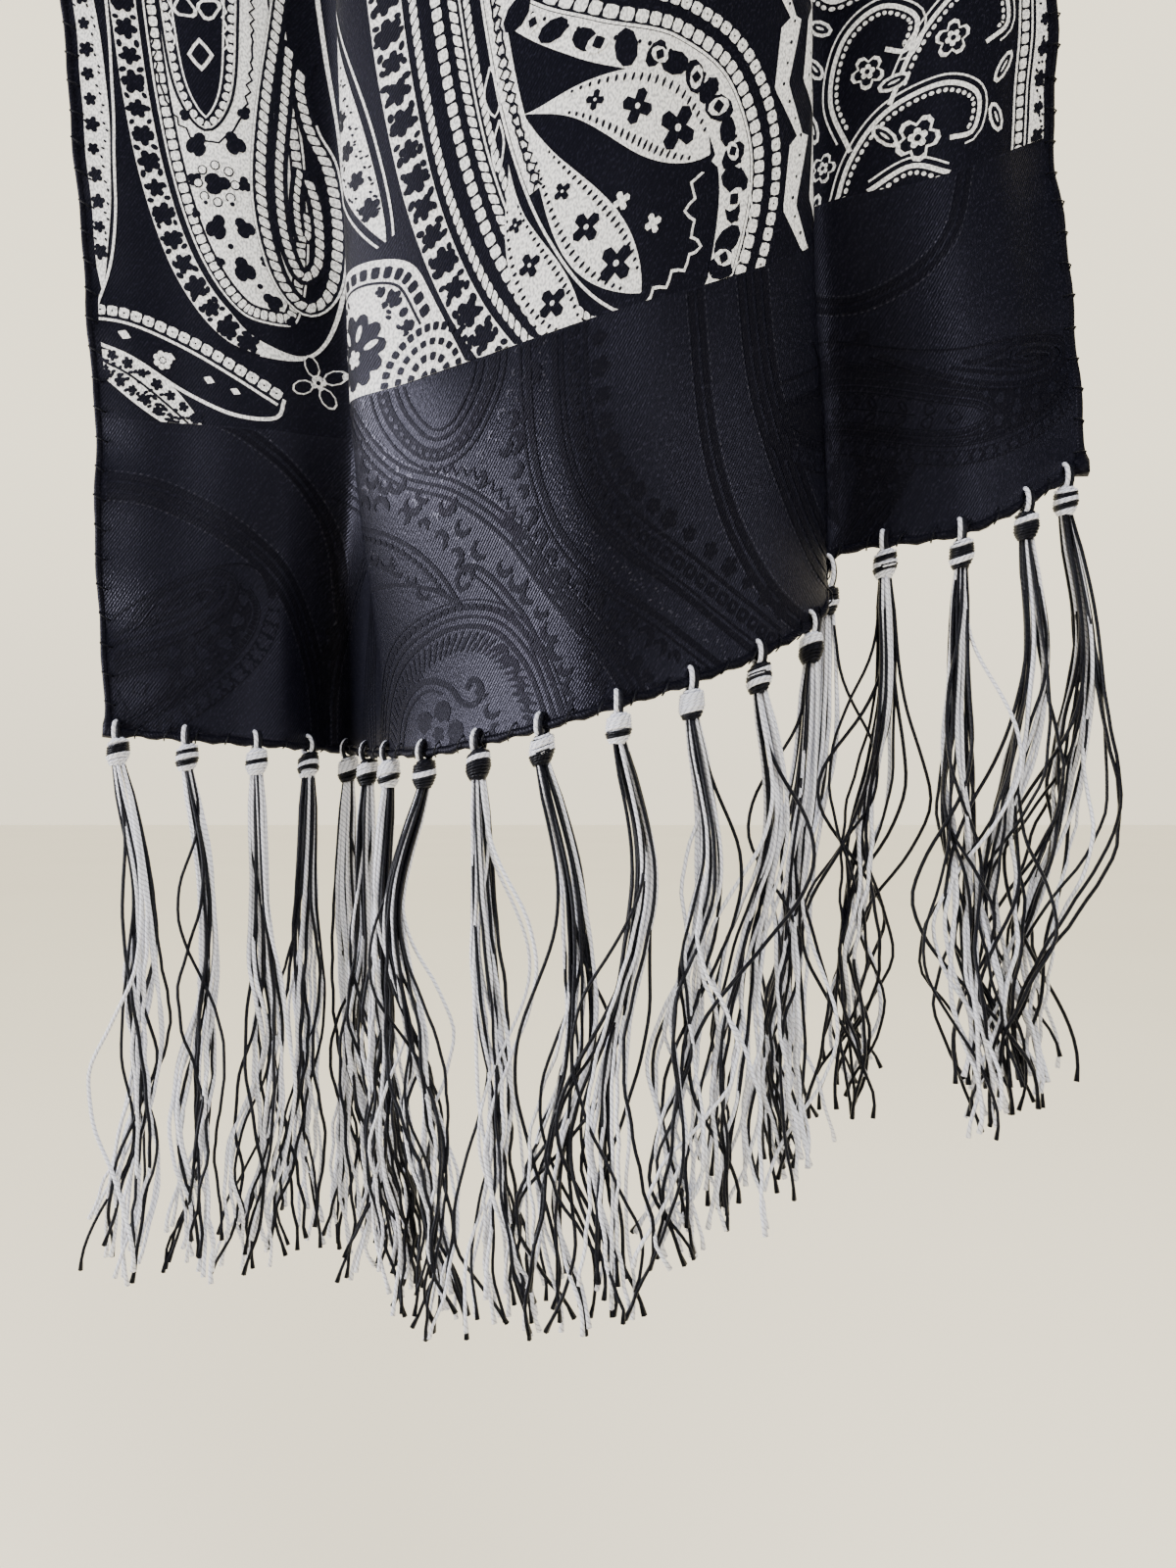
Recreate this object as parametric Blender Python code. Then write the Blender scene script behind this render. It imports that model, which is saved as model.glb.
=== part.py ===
"""A long printed silk scarf with tasselled ends, hanging folded over a rail. The rail isn't part of it.

The origin is where the inside of the cloth rests on top of the rail. X runs along the rail, the longer
front stretch hangs on the -Y side and the shorter back stretch on the +Y side.
"""

import math

import bpy
import numpy as np

# The flat cut, and the wall that stands for the cloth
WIDTH = 0.316
LENGTH = 1.50
WALL = 0.0012

# The rolled hem, a bead along all four edges
HEM_THICKNESS = 0.0022
HEM_PROFILE = (  # distance in from the edge, and the share of the bead's extra thickness there
    (0.0, 0.25),
    (0.0009, 1.0),
    (0.0021, 0.9),
    (0.0030, 0.0),
)

# How it hangs: thrown over the rail a little askew, so its sides lean. The folds grow from none at the
# rail to their full size at the front hem.
RAIL_RADIUS = 0.020
RAIL_CLEARANCE = 0.0003
FRONT_DROP = 0.925  # from the rail's axis down to the lowest point of the front hem
LEAN = 0.037  # metres sideways for each metre along the cloth
BACK_FOLDING = 0.5  # how deep the back stretch's folds are, as a share of the front's at the same height
OPENING_HEIGHT = 0.085  # above the front hem, the height over which the deep fold opens
INNER_RADIUS = RAIL_RADIUS + RAIL_CLEARANCE
TURN_RADIUS = INNER_RADIUS + WALL / 2
AXIS_HEIGHT = -INNER_RADIUS
TURN_LENGTH = math.pi * TURN_RADIUS

# The folds seen from above, in millimetres: how far across and how far back they lie at the front
# hem, how far the hem has been pulled up there, and where the same threads lie higher up
FOLDS = (
    # place            across   back   rise  across   back higher up
    ("left edge",      -123.0,  22.0,   6.0, -127.0,  21.0),
    ("left panel",      -96.0,  23.0,   4.0,  -99.5,  20.5),
    ("left bend",       -80.5,  31.0,   3.0,  -81.0,  22.0),
    ("valley",          -69.5,  46.5,   2.2,  -59.5,  26.5),
    ("flank",           -55.5,  22.0,   0.4,  -47.5,   5.0),
    ("tuck edge",       -47.5,   8.0,   0.2,  -54.5, -10.5),
    ("shoulder",        -32.5,  -6.0,   0.8,  -34.5, -26.0),
    ("ridge",             1.0, -24.5,   8.5,    0.9, -38.0),
    ("right shoulder",   34.0, -18.0,  20.0,   32.0, -31.5),
    ("fold edge",        53.4,  -6.0,  31.5,   52.0, -19.5),
    ("return",           56.2,   0.5,  42.0,   54.0,  -9.5),
    ("right valley",     62.0,   2.5,  48.5,   58.0,  -3.0),
    ("right panel",      88.8,  -7.0,  51.5,   85.0, -11.5),
    ("right edge",      116.8,  -2.0,  67.0,  115.5,   1.0),
)  # fmt: skip

# How finely the wall is divided
ROWS_FRONT = 17
ROWS_TURN = 8
ROWS_BACK = 11
COLUMNS = 24
BEND_WEIGHT = 0.006  # metres of bend radius at which a column is worth two
CURVE_STEPS = 40  # points that each row of the folds' table adds to the smooth curve
BLEND_STEPS = 40
NORMAL_STEP = 0.0004

# Tassels
CORNER_INSET = 0.0030  # from a side edge to the first tassel
SEAM_GAP = 0.0003
HEAD_GAP = 0.0006  # straight down from the hem, which slopes
HEAD_SIDES = 6
HEAD_TURN = 0.2
HEAD_PROFILE = (  # distance below the head's top, and radius
    (0.0000, 0.0012),
    (0.0013, 0.0026),
    (0.0045, 0.0028),
    (0.0070, 0.0020),
)
LOOP_WIDTH = 0.0016
LOOP_THICKNESS = 0.0010
LOOP_REACH = 0.0042  # how far above the hem's edge the loop goes through the cloth
LOOP_INTO_HEAD = 0.0024
STRANDS_FRONT = 6
STRANDS_BACK = 4
STRAND_SIDES = 3
STRAND_STATIONS = (0.0, 0.1, 0.3, 0.5, 0.75, 1.0)  # shares of its length
STRAND_ROOT = 0.0015  # how far inside the head a strand starts
STRAND_RADII = (0.00052, 0.0008, 0.0011, 0.0012, 0.0012, 0.0006)
RING_RADII = (0.00125, 0.0020, 0.0034, 0.0042, 0.0048, 0.0052)
STRAND_TURN = 0.5  # radians that the ring turns from root to end
RING_STARTS = (0.35, 2.45)  # radians at which the ring's first strand stands, at the left and the right edge
RAGGED_SHARE = 0.02  # the most by which a strand is shorter than the tassel's longest
BACK_STRAND_LENGTH = 0.126
BACK_SWAYS = (0.0010, 0.0020, 0.0020, 0.0025)  # sideways at a quarter, half, three quarters and all of it
BACK_SWAY_STEP = 1.7  # radians from one back tassel's sway to the next one's

# The front tassels from left to right, in millimetres: where they hang on the hem, the strands' length, how
# far they swing sideways at a quarter, half, three quarters and all of it, and how far back the ends lean
FRONT_TASSELS = (
    # place length quarter half three_quarters end lean
    (3.0,   131,  6.0,  6.5,  5.0,  1.0,  0.0),
    (20.3,  130,  5.5,  4.5,  2.5,  1.5,  0.0),
    (37.5,  131,  1.0,  3.5,  0.5, -3.5,  0.0),
    (54.0,  128, -0.5, -1.5, -3.0, -4.5,  1.0),
    (69.5,  129, -1.0,  0.0,  0.5, -0.5,  4.0),
    (88.0,  129, -1.0, -1.0,  1.0,  2.5,  3.0),
    (105.5, 131, -2.0, -1.0,  1.5,  4.5,  0.0),
    (121.5, 132, -7.5, -2.0,  2.5,  4.0,  0.0),
    (139.0, 128,  1.5,  3.5,  5.0,  8.0,  0.0),
    (156.5, 126,  7.0,  7.5,  1.5,  2.0,  0.0),
    (174.8, 126,  5.5, -0.5, -4.0, -2.0,  0.0),
    (192.0, 119,  4.0,  0.0, -3.5, -4.5,  0.0),
    (209.8, 118,  3.5, -3.0, -7.0, -8.0, -3.0),
    (227.5, 121, -2.0, -6.0, -8.0, -7.0, -6.0),
    (247.0, 132, -1.0, -5.5, -8.5, -6.0,  7.0),
    (263.5, 127,  0.0, -5.0, -8.5, -7.0,  2.0),
    (280.8, 131, -1.0, -1.0,  0.5,  3.0, -4.0),
    (298.0, 135,  2.0, -5.0, -8.0, -6.0,  0.0),
    (310.3, 139,  5.0,  0.5, -6.5, -4.0,  3.0),
)  # fmt: skip

BLACK_SILK = (0.012, 0.012, 0.022)
THREAD_GREY = (0.42, 0.43, 0.48)
CLOTH_ROUGHNESS = 0.45
THREAD_ROUGHNESS = 0.38

MM = 0.001


def clear_scene():
    for obj in list(bpy.data.objects):
        bpy.data.objects.remove(obj, do_unlink=True)


def smooth_through(points, per_span):
    """A Catmull-Rom curve: at each point it runs in the direction from the point before to the one after."""
    points = np.asarray(points, float)
    before = 2 * points[0] - points[1]
    after = 2 * points[-1] - points[-2]
    ring = np.vstack([before, points, after])
    share = np.linspace(0, 1, per_span, endpoint=False)[:, None]
    spans = []
    for a, b, c, d in zip(ring, ring[1:], ring[2:], ring[3:]):
        spans.append(
            0.5 * (2 * b + (c - a) * share + (2 * a - 5 * b + 4 * c - d) * share**2)
            + 0.5 * (3 * b - a - 3 * c + d) * share**3
        )
    return np.vstack(spans + [points[-1:]])


def length_along(points):
    steps = np.linalg.norm(np.diff(points, axis=0), axis=1)
    return np.concatenate([[0.0], np.cumsum(steps)])


def eased(share):
    """From 0 to 1 along an S-shaped curve that starts and ends level."""
    share = np.clip(share, 0.0, 1.0)
    return share * share * (3 - 2 * share)


class Drape:
    """Where each point of the flat cut hangs.

    u runs across the cut from its left edge and v along it from the front hem. Across, the cloth is flat from
    one column of the wall to the next, so that what is placed on it meets the wall that is built.
    """

    def __init__(self):
        curves = smooth_through([row[1:] for row in FOLDS], CURVE_STEPS) * MM
        for _ in range(6):  # widening leaves the rise as it is, so the width is reached in a few rounds
            curves[:, :2] *= WIDTH / length_along(curves[:, :3])[-1]
        self.take(curves, length_along(curves[:, :3]))
        places = self.columns()
        facets = np.stack([np.interp(places, self.u, line) for line in curves.T], axis=1)
        facets[:, :2] *= WIDTH / length_along(facets[:, :3])[-1]
        self.take(facets, places)

    def take(self, curves, u):
        """Keep the folds' lines, and how much each blend of them is widened to keep the cloth's width."""
        self.u = u
        self.hem_line, self.rise, self.upper_line = curves[:, :2], curves[:, 2], curves[:, 3:]
        level = np.linalg.norm(np.diff(self.hem_line, axis=0), axis=1)
        spread = np.concatenate([[0.0], np.cumsum(level)])
        self.level_width = spread[-1]
        self.flat_line = np.stack([spread - self.level_width / 2, 0 * spread], axis=1)
        self.shares = np.linspace(0, 1, BLEND_STEPS + 1)
        self.folding_fit = self.fits(self.flat_line, self.upper_line)
        self.opening_fit = self.fits(self.upper_line * self.folding_fit[-1], self.hem_line)

    def fits(self, first, second):
        blends = [(1 - share) * first + share * second for share in self.shares]
        return [self.level_width / length_along(blend)[-1] for blend in blends]

    def across_and_back(self, u, folding, opening):
        """Where the cloth lies seen from above: flat, then folded, then its deep fold open at the hem."""
        flat, upper, hem = (
            np.stack([np.interp(u, self.u, line[:, 0]), np.interp(u, self.u, line[:, 1])], axis=-1)
            for line in (self.flat_line, self.upper_line, self.hem_line)
        )
        folding, opening = folding[..., None], opening[..., None]
        folded = ((1 - folding) * flat + folding * upper) * np.interp(folding, self.shares, self.folding_fit)
        return ((1 - opening) * folded + opening * hem) * np.interp(opening, self.shares, self.opening_fit)

    def front_length(self, u):
        return FRONT_DROP - np.interp(u, self.u, self.rise)

    def point(self, u, v):
        """The middle of the wall at u, v, as an array with x, y and z last."""
        u, v = np.broadcast_arrays(np.asarray(u, float), np.asarray(v, float))
        front = self.front_length(u)
        below = np.where(v < front, front - v, np.maximum(v - front - TURN_LENGTH, 0.0))
        angle = np.clip((v - front) / TURN_RADIUS, 0.0, math.pi)
        folding = eased(below / FRONT_DROP) * np.where(v < front, 1.0, BACK_FOLDING)
        plan = self.across_and_back(u, folding, eased(1 - v / OPENING_HEIGHT))
        x = plan[..., 0] - LEAN * (v - front - TURN_LENGTH / 2)
        y = plan[..., 1] - TURN_RADIUS * np.cos(angle)
        z = AXIS_HEIGHT + TURN_RADIUS * np.sin(angle) - below
        return np.stack([x, y, z], axis=-1)

    def normal(self, u, v, step=NORMAL_STEP):
        """The direction out of the scarf's printed face, square to both threads."""
        low_u, high_u = np.clip(u - step, 0, WIDTH), np.clip(u + step, 0, WIDTH)
        low_v, high_v = np.clip(v - step, 0, LENGTH), np.clip(v + step, 0, LENGTH)
        across = self.point(high_u, v) - self.point(low_u, v)
        upward = self.point(u, high_v) - self.point(u, low_v)
        square = np.cross(across, upward)
        return square / np.linalg.norm(square, axis=-1, keepdims=True)

    def columns(self):
        """Places across the cut, closer together where the folds bend, and the lines of the side hems."""
        turning = 0
        for line in (self.hem_line, self.upper_line):
            heading = np.unwrap(np.arctan2(*np.gradient(line, axis=0).T[::-1]))
            turning = turning + np.abs(np.diff(heading)) / 2
        worth = np.diff(self.u) + BEND_WEIGHT * turning
        total = np.concatenate([[0.0], np.cumsum(worth)])
        return with_hem_lines(np.interp(np.linspace(0, total[-1], COLUMNS + 1), total, self.u), WIDTH)


def with_hem_lines(places, size):
    """The places between the two hems, with the lines that shape the hems' beads added at both ends."""
    deep = HEM_PROFILE[-1][0]
    inside = places[(places > 2 * deep) & (places < size - 2 * deep)]
    lines = np.array([row[0] for row in HEM_PROFILE])
    return np.concatenate([lines, inside, size - lines[::-1]])


def wall_thickness(from_edge):
    lines, shares = zip(*HEM_PROFILE)
    return WALL + (HEM_THICKNESS - WALL) * np.interp(from_edge, lines, shares)


def grid_of_the_cut(drape):
    """u and v at each corner of the wall's grid: rows by columns."""
    u = drape.u
    front = drape.front_length(u)
    back = LENGTH - front - TURN_LENGTH
    hem = np.array([row[0] for row in HEM_PROFILE])
    deep = hem[-1]
    rows = [np.full_like(u, line) for line in hem]
    for share in np.linspace(0, 1, ROWS_FRONT + 1)[1:]:
        rows.append(deep + share * (front - deep))
    for share in np.linspace(0, 1, ROWS_TURN + 1)[1:]:
        rows.append(front + share * TURN_LENGTH)
    for share in np.linspace(0, 1, ROWS_BACK + 1)[1:]:
        rows.append(front + TURN_LENGTH + share * (back - deep))
    rows += [np.full_like(u, LENGTH - line) for line in hem[::-1][1:]]
    v = np.array(rows)
    return np.broadcast_to(u, v.shape), v


def closed_wall(outer, inner):
    """Points and faces of a wall with an outer and an inner grid and a rim all round."""
    rows, columns = outer.shape[:2]
    points = np.concatenate([outer.reshape(-1, 3), inner.reshape(-1, 3)])
    index = np.arange(rows * columns).reshape(rows, columns)
    under = index + rows * columns
    faces = []
    a, b, c, d = index[:-1, :-1], index[:-1, 1:], index[1:, 1:], index[1:, :-1]
    faces.append(np.stack([a, b, c, d], axis=-1).reshape(-1, 4))
    a, b, c, d = under[:-1, :-1], under[1:, :-1], under[1:, 1:], under[:-1, 1:]
    faces.append(np.stack([a, b, c, d], axis=-1).reshape(-1, 4))
    round_the_rim = np.concatenate([index[0], index[1:, -1], index[-1, -2::-1], index[-2:0:-1, 0]])
    onward = np.roll(round_the_rim, -1)
    below = round_the_rim + rows * columns
    faces.append(np.stack([round_the_rim, below, np.roll(below, -1), onward], axis=-1))
    return points, np.concatenate(faces)


def add_object(name, points, faces, material):
    mesh = bpy.data.meshes.new(name)
    mesh.from_pydata(np.asarray(points).tolist(), [], [list(map(int, face)) for face in faces])
    mesh.update()
    obj = bpy.data.objects.new(name, mesh)
    obj.data.materials.append(material)
    bpy.context.scene.collection.objects.link(obj)
    return obj


def shade_round(obj):
    obj.data.shade_smooth()
    obj.data.set_sharp_from_angle(angle=math.radians(50))


def fabric(name, colour, roughness):
    material = bpy.data.materials.new(name)
    material.use_nodes = True
    shader = material.node_tree.nodes["Principled BSDF"]
    shader.inputs["Base Color"].default_value = (*colour, 1.0)
    shader.inputs["Roughness"].default_value = roughness
    shader.inputs["Metallic"].default_value = 0.0
    return material


def make_cloth(drape):
    u, v = grid_of_the_cut(drape)
    middle, out = drape.point(u, v), drape.normal(u, v)
    from_edge = np.minimum(np.minimum(u, WIDTH - u), np.minimum(v, LENGTH - v))
    half = wall_thickness(from_edge)[..., None] / 2
    points, faces = closed_wall(middle + half * out, middle - half * out)
    cloth = add_object("scarf_cloth", points, faces, fabric("silk", BLACK_SILK, CLOTH_ROUGHNESS))
    shade_round(cloth)


def ring_skin(rings):
    """A closed skin over a stack of rings, stations by sides by 3: points and faces, facing out."""
    stations, sides = rings.shape[:2]
    index = np.arange(stations * sides).reshape(stations, sides)
    onward = np.roll(index, -1, axis=1)
    walls = np.stack([index[:-1], index[1:], onward[1:], onward[:-1]], axis=-1)
    faces = [list(face) for face in walls.reshape(-1, 4)]
    faces += [list(index[0]), list(index[-1][::-1])]
    points = rings.reshape(-1, 3)
    if volume(points, faces) < 0:
        faces = [face[::-1] for face in faces]
    return points, faces


def volume(points, faces):
    """The volume inside closed faces, negative where they face in."""
    total = 0.0
    for face in faces:
        for second, third in zip(face[1:], face[2:]):
            total += np.dot(points[face[0]], np.cross(points[second], points[third]))
    return total / 6


def tube(centres, radii, sides, turn):
    """A closed tube with level rings."""
    around = turn + np.arange(sides) * 2 * math.pi / sides
    ring = np.stack([np.cos(around), np.sin(around), np.zeros(sides)], axis=1)
    return ring_skin(centres[:, None, :] + np.asarray(radii)[:, None, None] * ring)


def joined(shells):
    """Several closed shells as one list of points and one of faces."""
    points, faces, start = [], [], 0
    for shell_points, shell_faces in shells:
        points.append(shell_points)
        faces += [[start + corner for corner in face] for face in shell_faces]
        start += len(shell_points)
    return np.concatenate(points), faces


def strand_shells(root, length, swings, lean, count, first_turn):
    """One closed tube for each strand, hanging from root in a ring that slowly widens and turns."""
    stations = np.array(STRAND_STATIONS)
    swept = smooth_through([[0.0], *[[swing] for swing in swings]], 8)[:, 0]
    sideways = np.interp(stations, np.linspace(0, 1, len(swept)), swept)
    ring = np.array(RING_RADII)
    shells = []
    for number in range(count):
        around = first_turn + 2 * math.pi * number / count + STRAND_TURN * stations
        ragged = 1 - RAGGED_SHARE * ((number * 5) % count) / count
        x = sideways + ring * np.cos(around)
        y = lean * stations**2 + ring * np.sin(around)
        path = root + np.stack([x, y, -length * ragged * stations], axis=1)
        shells.append(tube(path, STRAND_RADII, STRAND_SIDES, around[0]))
    return shells


def loop_leg(drape, u, hem_v, side, down_to):
    """One side of the loop: a flat strip that lies over the hem's bead and goes down into the head."""
    into_cloth = 1 if hem_v == 0 else -1
    hem = drape.point(u, hem_v)
    out = drape.normal(u, hem_v, LOOP_WIDTH / 2) * [1, 1, 0]
    out = side * out / np.linalg.norm(out)
    across = np.array([-out[1], out[0], 0.0])
    beside, above = np.meshgrid(np.linspace(-0.5, 0.5, 5), np.linspace(0, 1, 4))
    covered = drape.point(
        np.clip(u + LOOP_WIDTH * beside, 0, WIDTH), hem_v + into_cloth * LOOP_REACH * above
    )
    near = np.max((covered - hem) @ out) + HEM_THICKNESS / 2 + SEAM_GAP
    corners = [(-0.5, near), (0.5, near), (0.5, near + LOOP_THICKNESS), (-0.5, near + LOOP_THICKNESS)]
    ring = np.array([hem + LOOP_WIDTH * sideways * across + off * out for sideways, off in corners])
    top, bottom = ring.copy(), ring.copy()
    top[:, 2] = hem[2] + LOOP_REACH
    bottom[:, 2] = down_to
    return ring_skin(np.stack([top, bottom]))


def fused(body, others):
    """The body's mesh with the other shells added to it by a Boolean union."""
    union = body.modifiers.new("union", "BOOLEAN")
    union.operation = "UNION"
    union.solver = "EXACT"
    union.object = others
    graph = bpy.context.evaluated_depsgraph_get()
    mesh = bpy.data.meshes.new_from_object(body.evaluated_get(graph))
    body.modifiers.remove(union)
    body.data = mesh
    bpy.data.objects.remove(others, do_unlink=True)


def head_top(drape, u, hem_v):
    """Where the head's top lies under the hem: as high as its widening top clears the sloping edge."""
    depths, radii = np.array(HEAD_PROFILE[:3]).T
    hem = drape.point(u, hem_v)
    beside = np.clip(u + np.linspace(-2, 2, 41) * radii[-1], 0, WIDTH)
    from_hem = drape.point(beside, np.full_like(beside, hem_v)) - hem
    distance = np.linalg.norm(from_hem[:, :2], axis=1)
    under = distance < radii[-1] + HEAD_GAP
    gap = HEAD_GAP + np.max(-from_hem[under, 2] - np.interp(distance[under], radii, depths))
    return hem - [0, 0, gap]


def make_tassel(name, drape, u, hem_v, strands, material):
    """A loop over the hem, a wrapped head below it and a ring of strands, as one body."""
    depths, radii = np.array(HEAD_PROFILE).T
    top = head_top(drape, u, hem_v)
    centres = top - np.outer(depths, [0, 0, 1])
    head = add_object(name, *tube(centres, radii, HEAD_SIDES, HEAD_TURN), material)
    root = centres[-1] + [0, 0, STRAND_ROOT]
    shells = strand_shells(root, *strands, np.interp(u, (0, WIDTH), RING_STARTS))
    for side in (1, -1):
        shells.append(loop_leg(drape, u, hem_v, side, top[2] - LOOP_INTO_HEAD))
    fused(head, add_object(name + "_strands", *joined(shells), material))
    shade_round(head)


def make_tassels(drape):
    thread = fabric("thread", THREAD_GREY, THREAD_ROUGHNESS)
    for number, row in enumerate(FRONT_TASSELS, 1):
        place, length, *swings, lean = np.array(row) * MM
        strands = (length, swings, lean, STRANDS_FRONT)
        make_tassel(f"tassel_front_{number:02d}", drape, place, 0.0, strands, thread)
    for number, place in enumerate(np.linspace(CORNER_INSET, WIDTH - CORNER_INSET, len(FRONT_TASSELS)), 1):
        swings = [sway * math.sin(BACK_SWAY_STEP * number + turn) for turn, sway in enumerate(BACK_SWAYS)]
        strands = (BACK_STRAND_LENGTH, swings, 0.0, STRANDS_BACK)
        make_tassel(f"tassel_back_{number:02d}", drape, place, LENGTH, strands, thread)


def main():
    clear_scene()
    drape = Drape()
    make_cloth(drape)
    make_tassels(drape)


main()
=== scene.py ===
# %% [markdown]
# # A printed silk scarf with bound tassels
#
# The scarf is one long strip of woven silk, hung over a rail so that its front end shows. This lesson
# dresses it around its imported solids: the cloth with its rolled hem, the pale print, and nineteen
# tassels at each end. Nearly every shape is a function of two numbers, worked out for whole arrays of
# points at once.

import math

import bpy
import numpy as np
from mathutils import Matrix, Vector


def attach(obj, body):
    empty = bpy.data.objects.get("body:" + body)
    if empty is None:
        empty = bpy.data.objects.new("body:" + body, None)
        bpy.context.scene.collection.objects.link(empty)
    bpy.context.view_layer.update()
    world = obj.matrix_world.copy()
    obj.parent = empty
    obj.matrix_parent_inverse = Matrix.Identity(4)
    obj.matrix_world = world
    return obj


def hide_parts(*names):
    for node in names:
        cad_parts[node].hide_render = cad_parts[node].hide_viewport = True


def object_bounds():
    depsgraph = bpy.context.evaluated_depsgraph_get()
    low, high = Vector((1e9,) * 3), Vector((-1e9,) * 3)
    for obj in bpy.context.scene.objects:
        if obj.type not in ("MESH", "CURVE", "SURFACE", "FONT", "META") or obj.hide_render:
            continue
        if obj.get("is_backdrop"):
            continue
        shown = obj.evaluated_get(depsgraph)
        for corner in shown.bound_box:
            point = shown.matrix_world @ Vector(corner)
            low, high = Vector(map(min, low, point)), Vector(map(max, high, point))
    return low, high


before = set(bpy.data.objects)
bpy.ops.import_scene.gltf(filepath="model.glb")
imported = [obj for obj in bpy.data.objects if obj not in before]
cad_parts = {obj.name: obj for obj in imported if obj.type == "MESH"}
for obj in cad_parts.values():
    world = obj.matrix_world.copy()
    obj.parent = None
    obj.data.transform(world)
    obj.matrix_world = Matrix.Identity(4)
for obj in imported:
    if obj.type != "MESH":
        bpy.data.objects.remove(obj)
cad_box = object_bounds()
MM = 0.001
print("solids in the frame:", len(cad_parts))

# %% [markdown]
# ## The camera
# A scarf that hangs past the top of the picture is seen from close by, level with its lower end. The
# lens is short, so the folds that come forward look larger. The camera stands in front of the lowest
# part of the hem.

# %% The camera
LEAN = 0.037  # metres sideways for each metre along the cloth, because it hangs a little askew
FRONT_DROP = 0.925
CAMERA_PLACE = (LEAN * FRONT_DROP, -0.298, -0.9519)
SENSOR = 24.0
LENS = 18.0
NEAREST = 0.01


def linked(name, data):
    """A new object in the scene."""
    obj = bpy.data.objects.new(name, data)
    bpy.context.scene.collection.objects.link(obj)
    return obj


camera_data = bpy.data.cameras.new("camera")
camera_data.lens, camera_data.sensor_width, camera_data.clip_start = LENS, SENSOR, NEAREST
camera = linked("camera", camera_data)
camera.location = CAMERA_PLACE
camera.rotation_euler = (math.radians(90), 0, 0)
bpy.context.scene.camera = camera
print("camera at", CAMERA_PLACE)

# %% [markdown]
# ## Curves through a few points
# A fold or a thread is drawn with a few points. A Catmull-Rom curve passes through all of them
# and bends smoothly, so the table of folds stays short.


# %% Curves through a few points
def smooth_through(points, per_span):
    """A Catmull-Rom curve: at each point it runs in the direction from the point before to the one after."""
    points = np.asarray(points, float)
    ring = np.vstack([2 * points[0] - points[1], points, 2 * points[-1] - points[-2]])
    a, b, c, d = (ring[k : len(ring) - 3 + k, None, :] for k in range(4))
    share = np.linspace(0, 1, per_span, endpoint=False)[None, :, None]
    curve = b + (c - a) * share / 2 + (2 * a - 5 * b + 4 * c - d) * share**2 / 2
    curve = curve + (3 * b - a - 3 * c + d) * share**3 / 2
    return np.vstack([curve.reshape(-1, points.shape[1]), points[-1:]])


def length_along(points):
    """The distance from the first point to each point, along the line."""
    return np.concatenate([[0.0], np.cumsum(np.linalg.norm(np.diff(points, axis=0), axis=1))])


def point_at(place, places, line):
    """The point of a flat line at a place, where each point of the line has a place of its own."""
    return np.stack([np.interp(place, places, line[:, axis]) for axis in (0, 1)], axis=-1)


def headings(line):
    """The direction of a flat line at each of its points, in radians and without jumps."""
    return np.unwrap(np.arctan2(*np.gradient(line, axis=0).T[::-1]))


def on_circle(angle):
    """The point of a circle of radius 1 at an angle."""
    return np.stack([np.cos(angle), np.sin(angle)], axis=-1)


def unit(vectors):
    """The same directions, each with a length of 1."""
    return vectors / np.maximum(np.linalg.norm(vectors, axis=-1, keepdims=True), 1e-12)


def eased(share):
    """From 0 to 1 along an S-shaped curve that starts and ends level."""
    share = np.clip(share, 0.0, 1.0)
    return share * share * (3 - 2 * share)


# %% [markdown]
# ## The drape
# The cloth is a rectangle, 316 mm by 1.5 m, and every point of it has a place across (u) and along (v).
# One function says where that point hangs: flat over the rail, then in folds that deepen on the way
# down.

# %% Sizes of the drape
WIDTH = 0.316
LENGTH = 1.50
WALL = 0.0012
RAIL_RADIUS = 0.020
RAIL_CLEARANCE = 0.0003
BACK_FOLDING = 0.5  # how deep the back stretch folds, as a share of the front
OPENING_HEIGHT = 0.085  # above the hem, where the deep fold opens
INNER_RADIUS = RAIL_RADIUS + RAIL_CLEARANCE
TURN_RADIUS = INNER_RADIUS + WALL / 2
AXIS_HEIGHT = -INNER_RADIUS
TURN_LENGTH = math.pi * TURN_RADIUS
FOLD_POINTS = 40  # between two rows of the table below
BLENDS = 41  # between two fold lines, each fitted to the cloth's width

FOLDS = (
    # millimetres      across   back   rise  across   back higher up
    ("left edge",      -123.0,  22.0,   6.0, -127.0,  21.0),
    ("left panel",      -96.0,  23.0,   4.0,  -99.5,  20.5),
    ("left bend",       -80.5,  31.0,   3.0,  -81.0,  22.0),
    ("valley",          -69.5,  46.5,   2.2,  -59.5,  26.5),
    ("flank",           -55.5,  22.0,   0.4,  -47.5,   5.0),
    ("tuck edge",       -47.5,   8.0,   0.2,  -54.5, -10.5),
    ("shoulder",        -32.5,  -6.0,   0.8,  -34.5, -26.0),
    ("ridge",             1.0, -24.5,   8.5,    0.9, -38.0),
    ("right shoulder",   34.0, -18.0,  20.0,   32.0, -31.5),
    ("fold edge",        53.4,  -6.0,  31.5,   52.0, -19.5),
    ("return",           56.2,   0.5,  42.0,   54.0,  -9.5),
    ("right valley",     62.0,   2.5,  48.5,   58.0,  -3.0),
    ("right panel",      88.8,  -7.0,  51.5,   85.0, -11.5),
    ("right edge",      116.8,  -2.0,  67.0,  115.5,   1.0),
)
print("folds across the cloth:", len(FOLDS))


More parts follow.
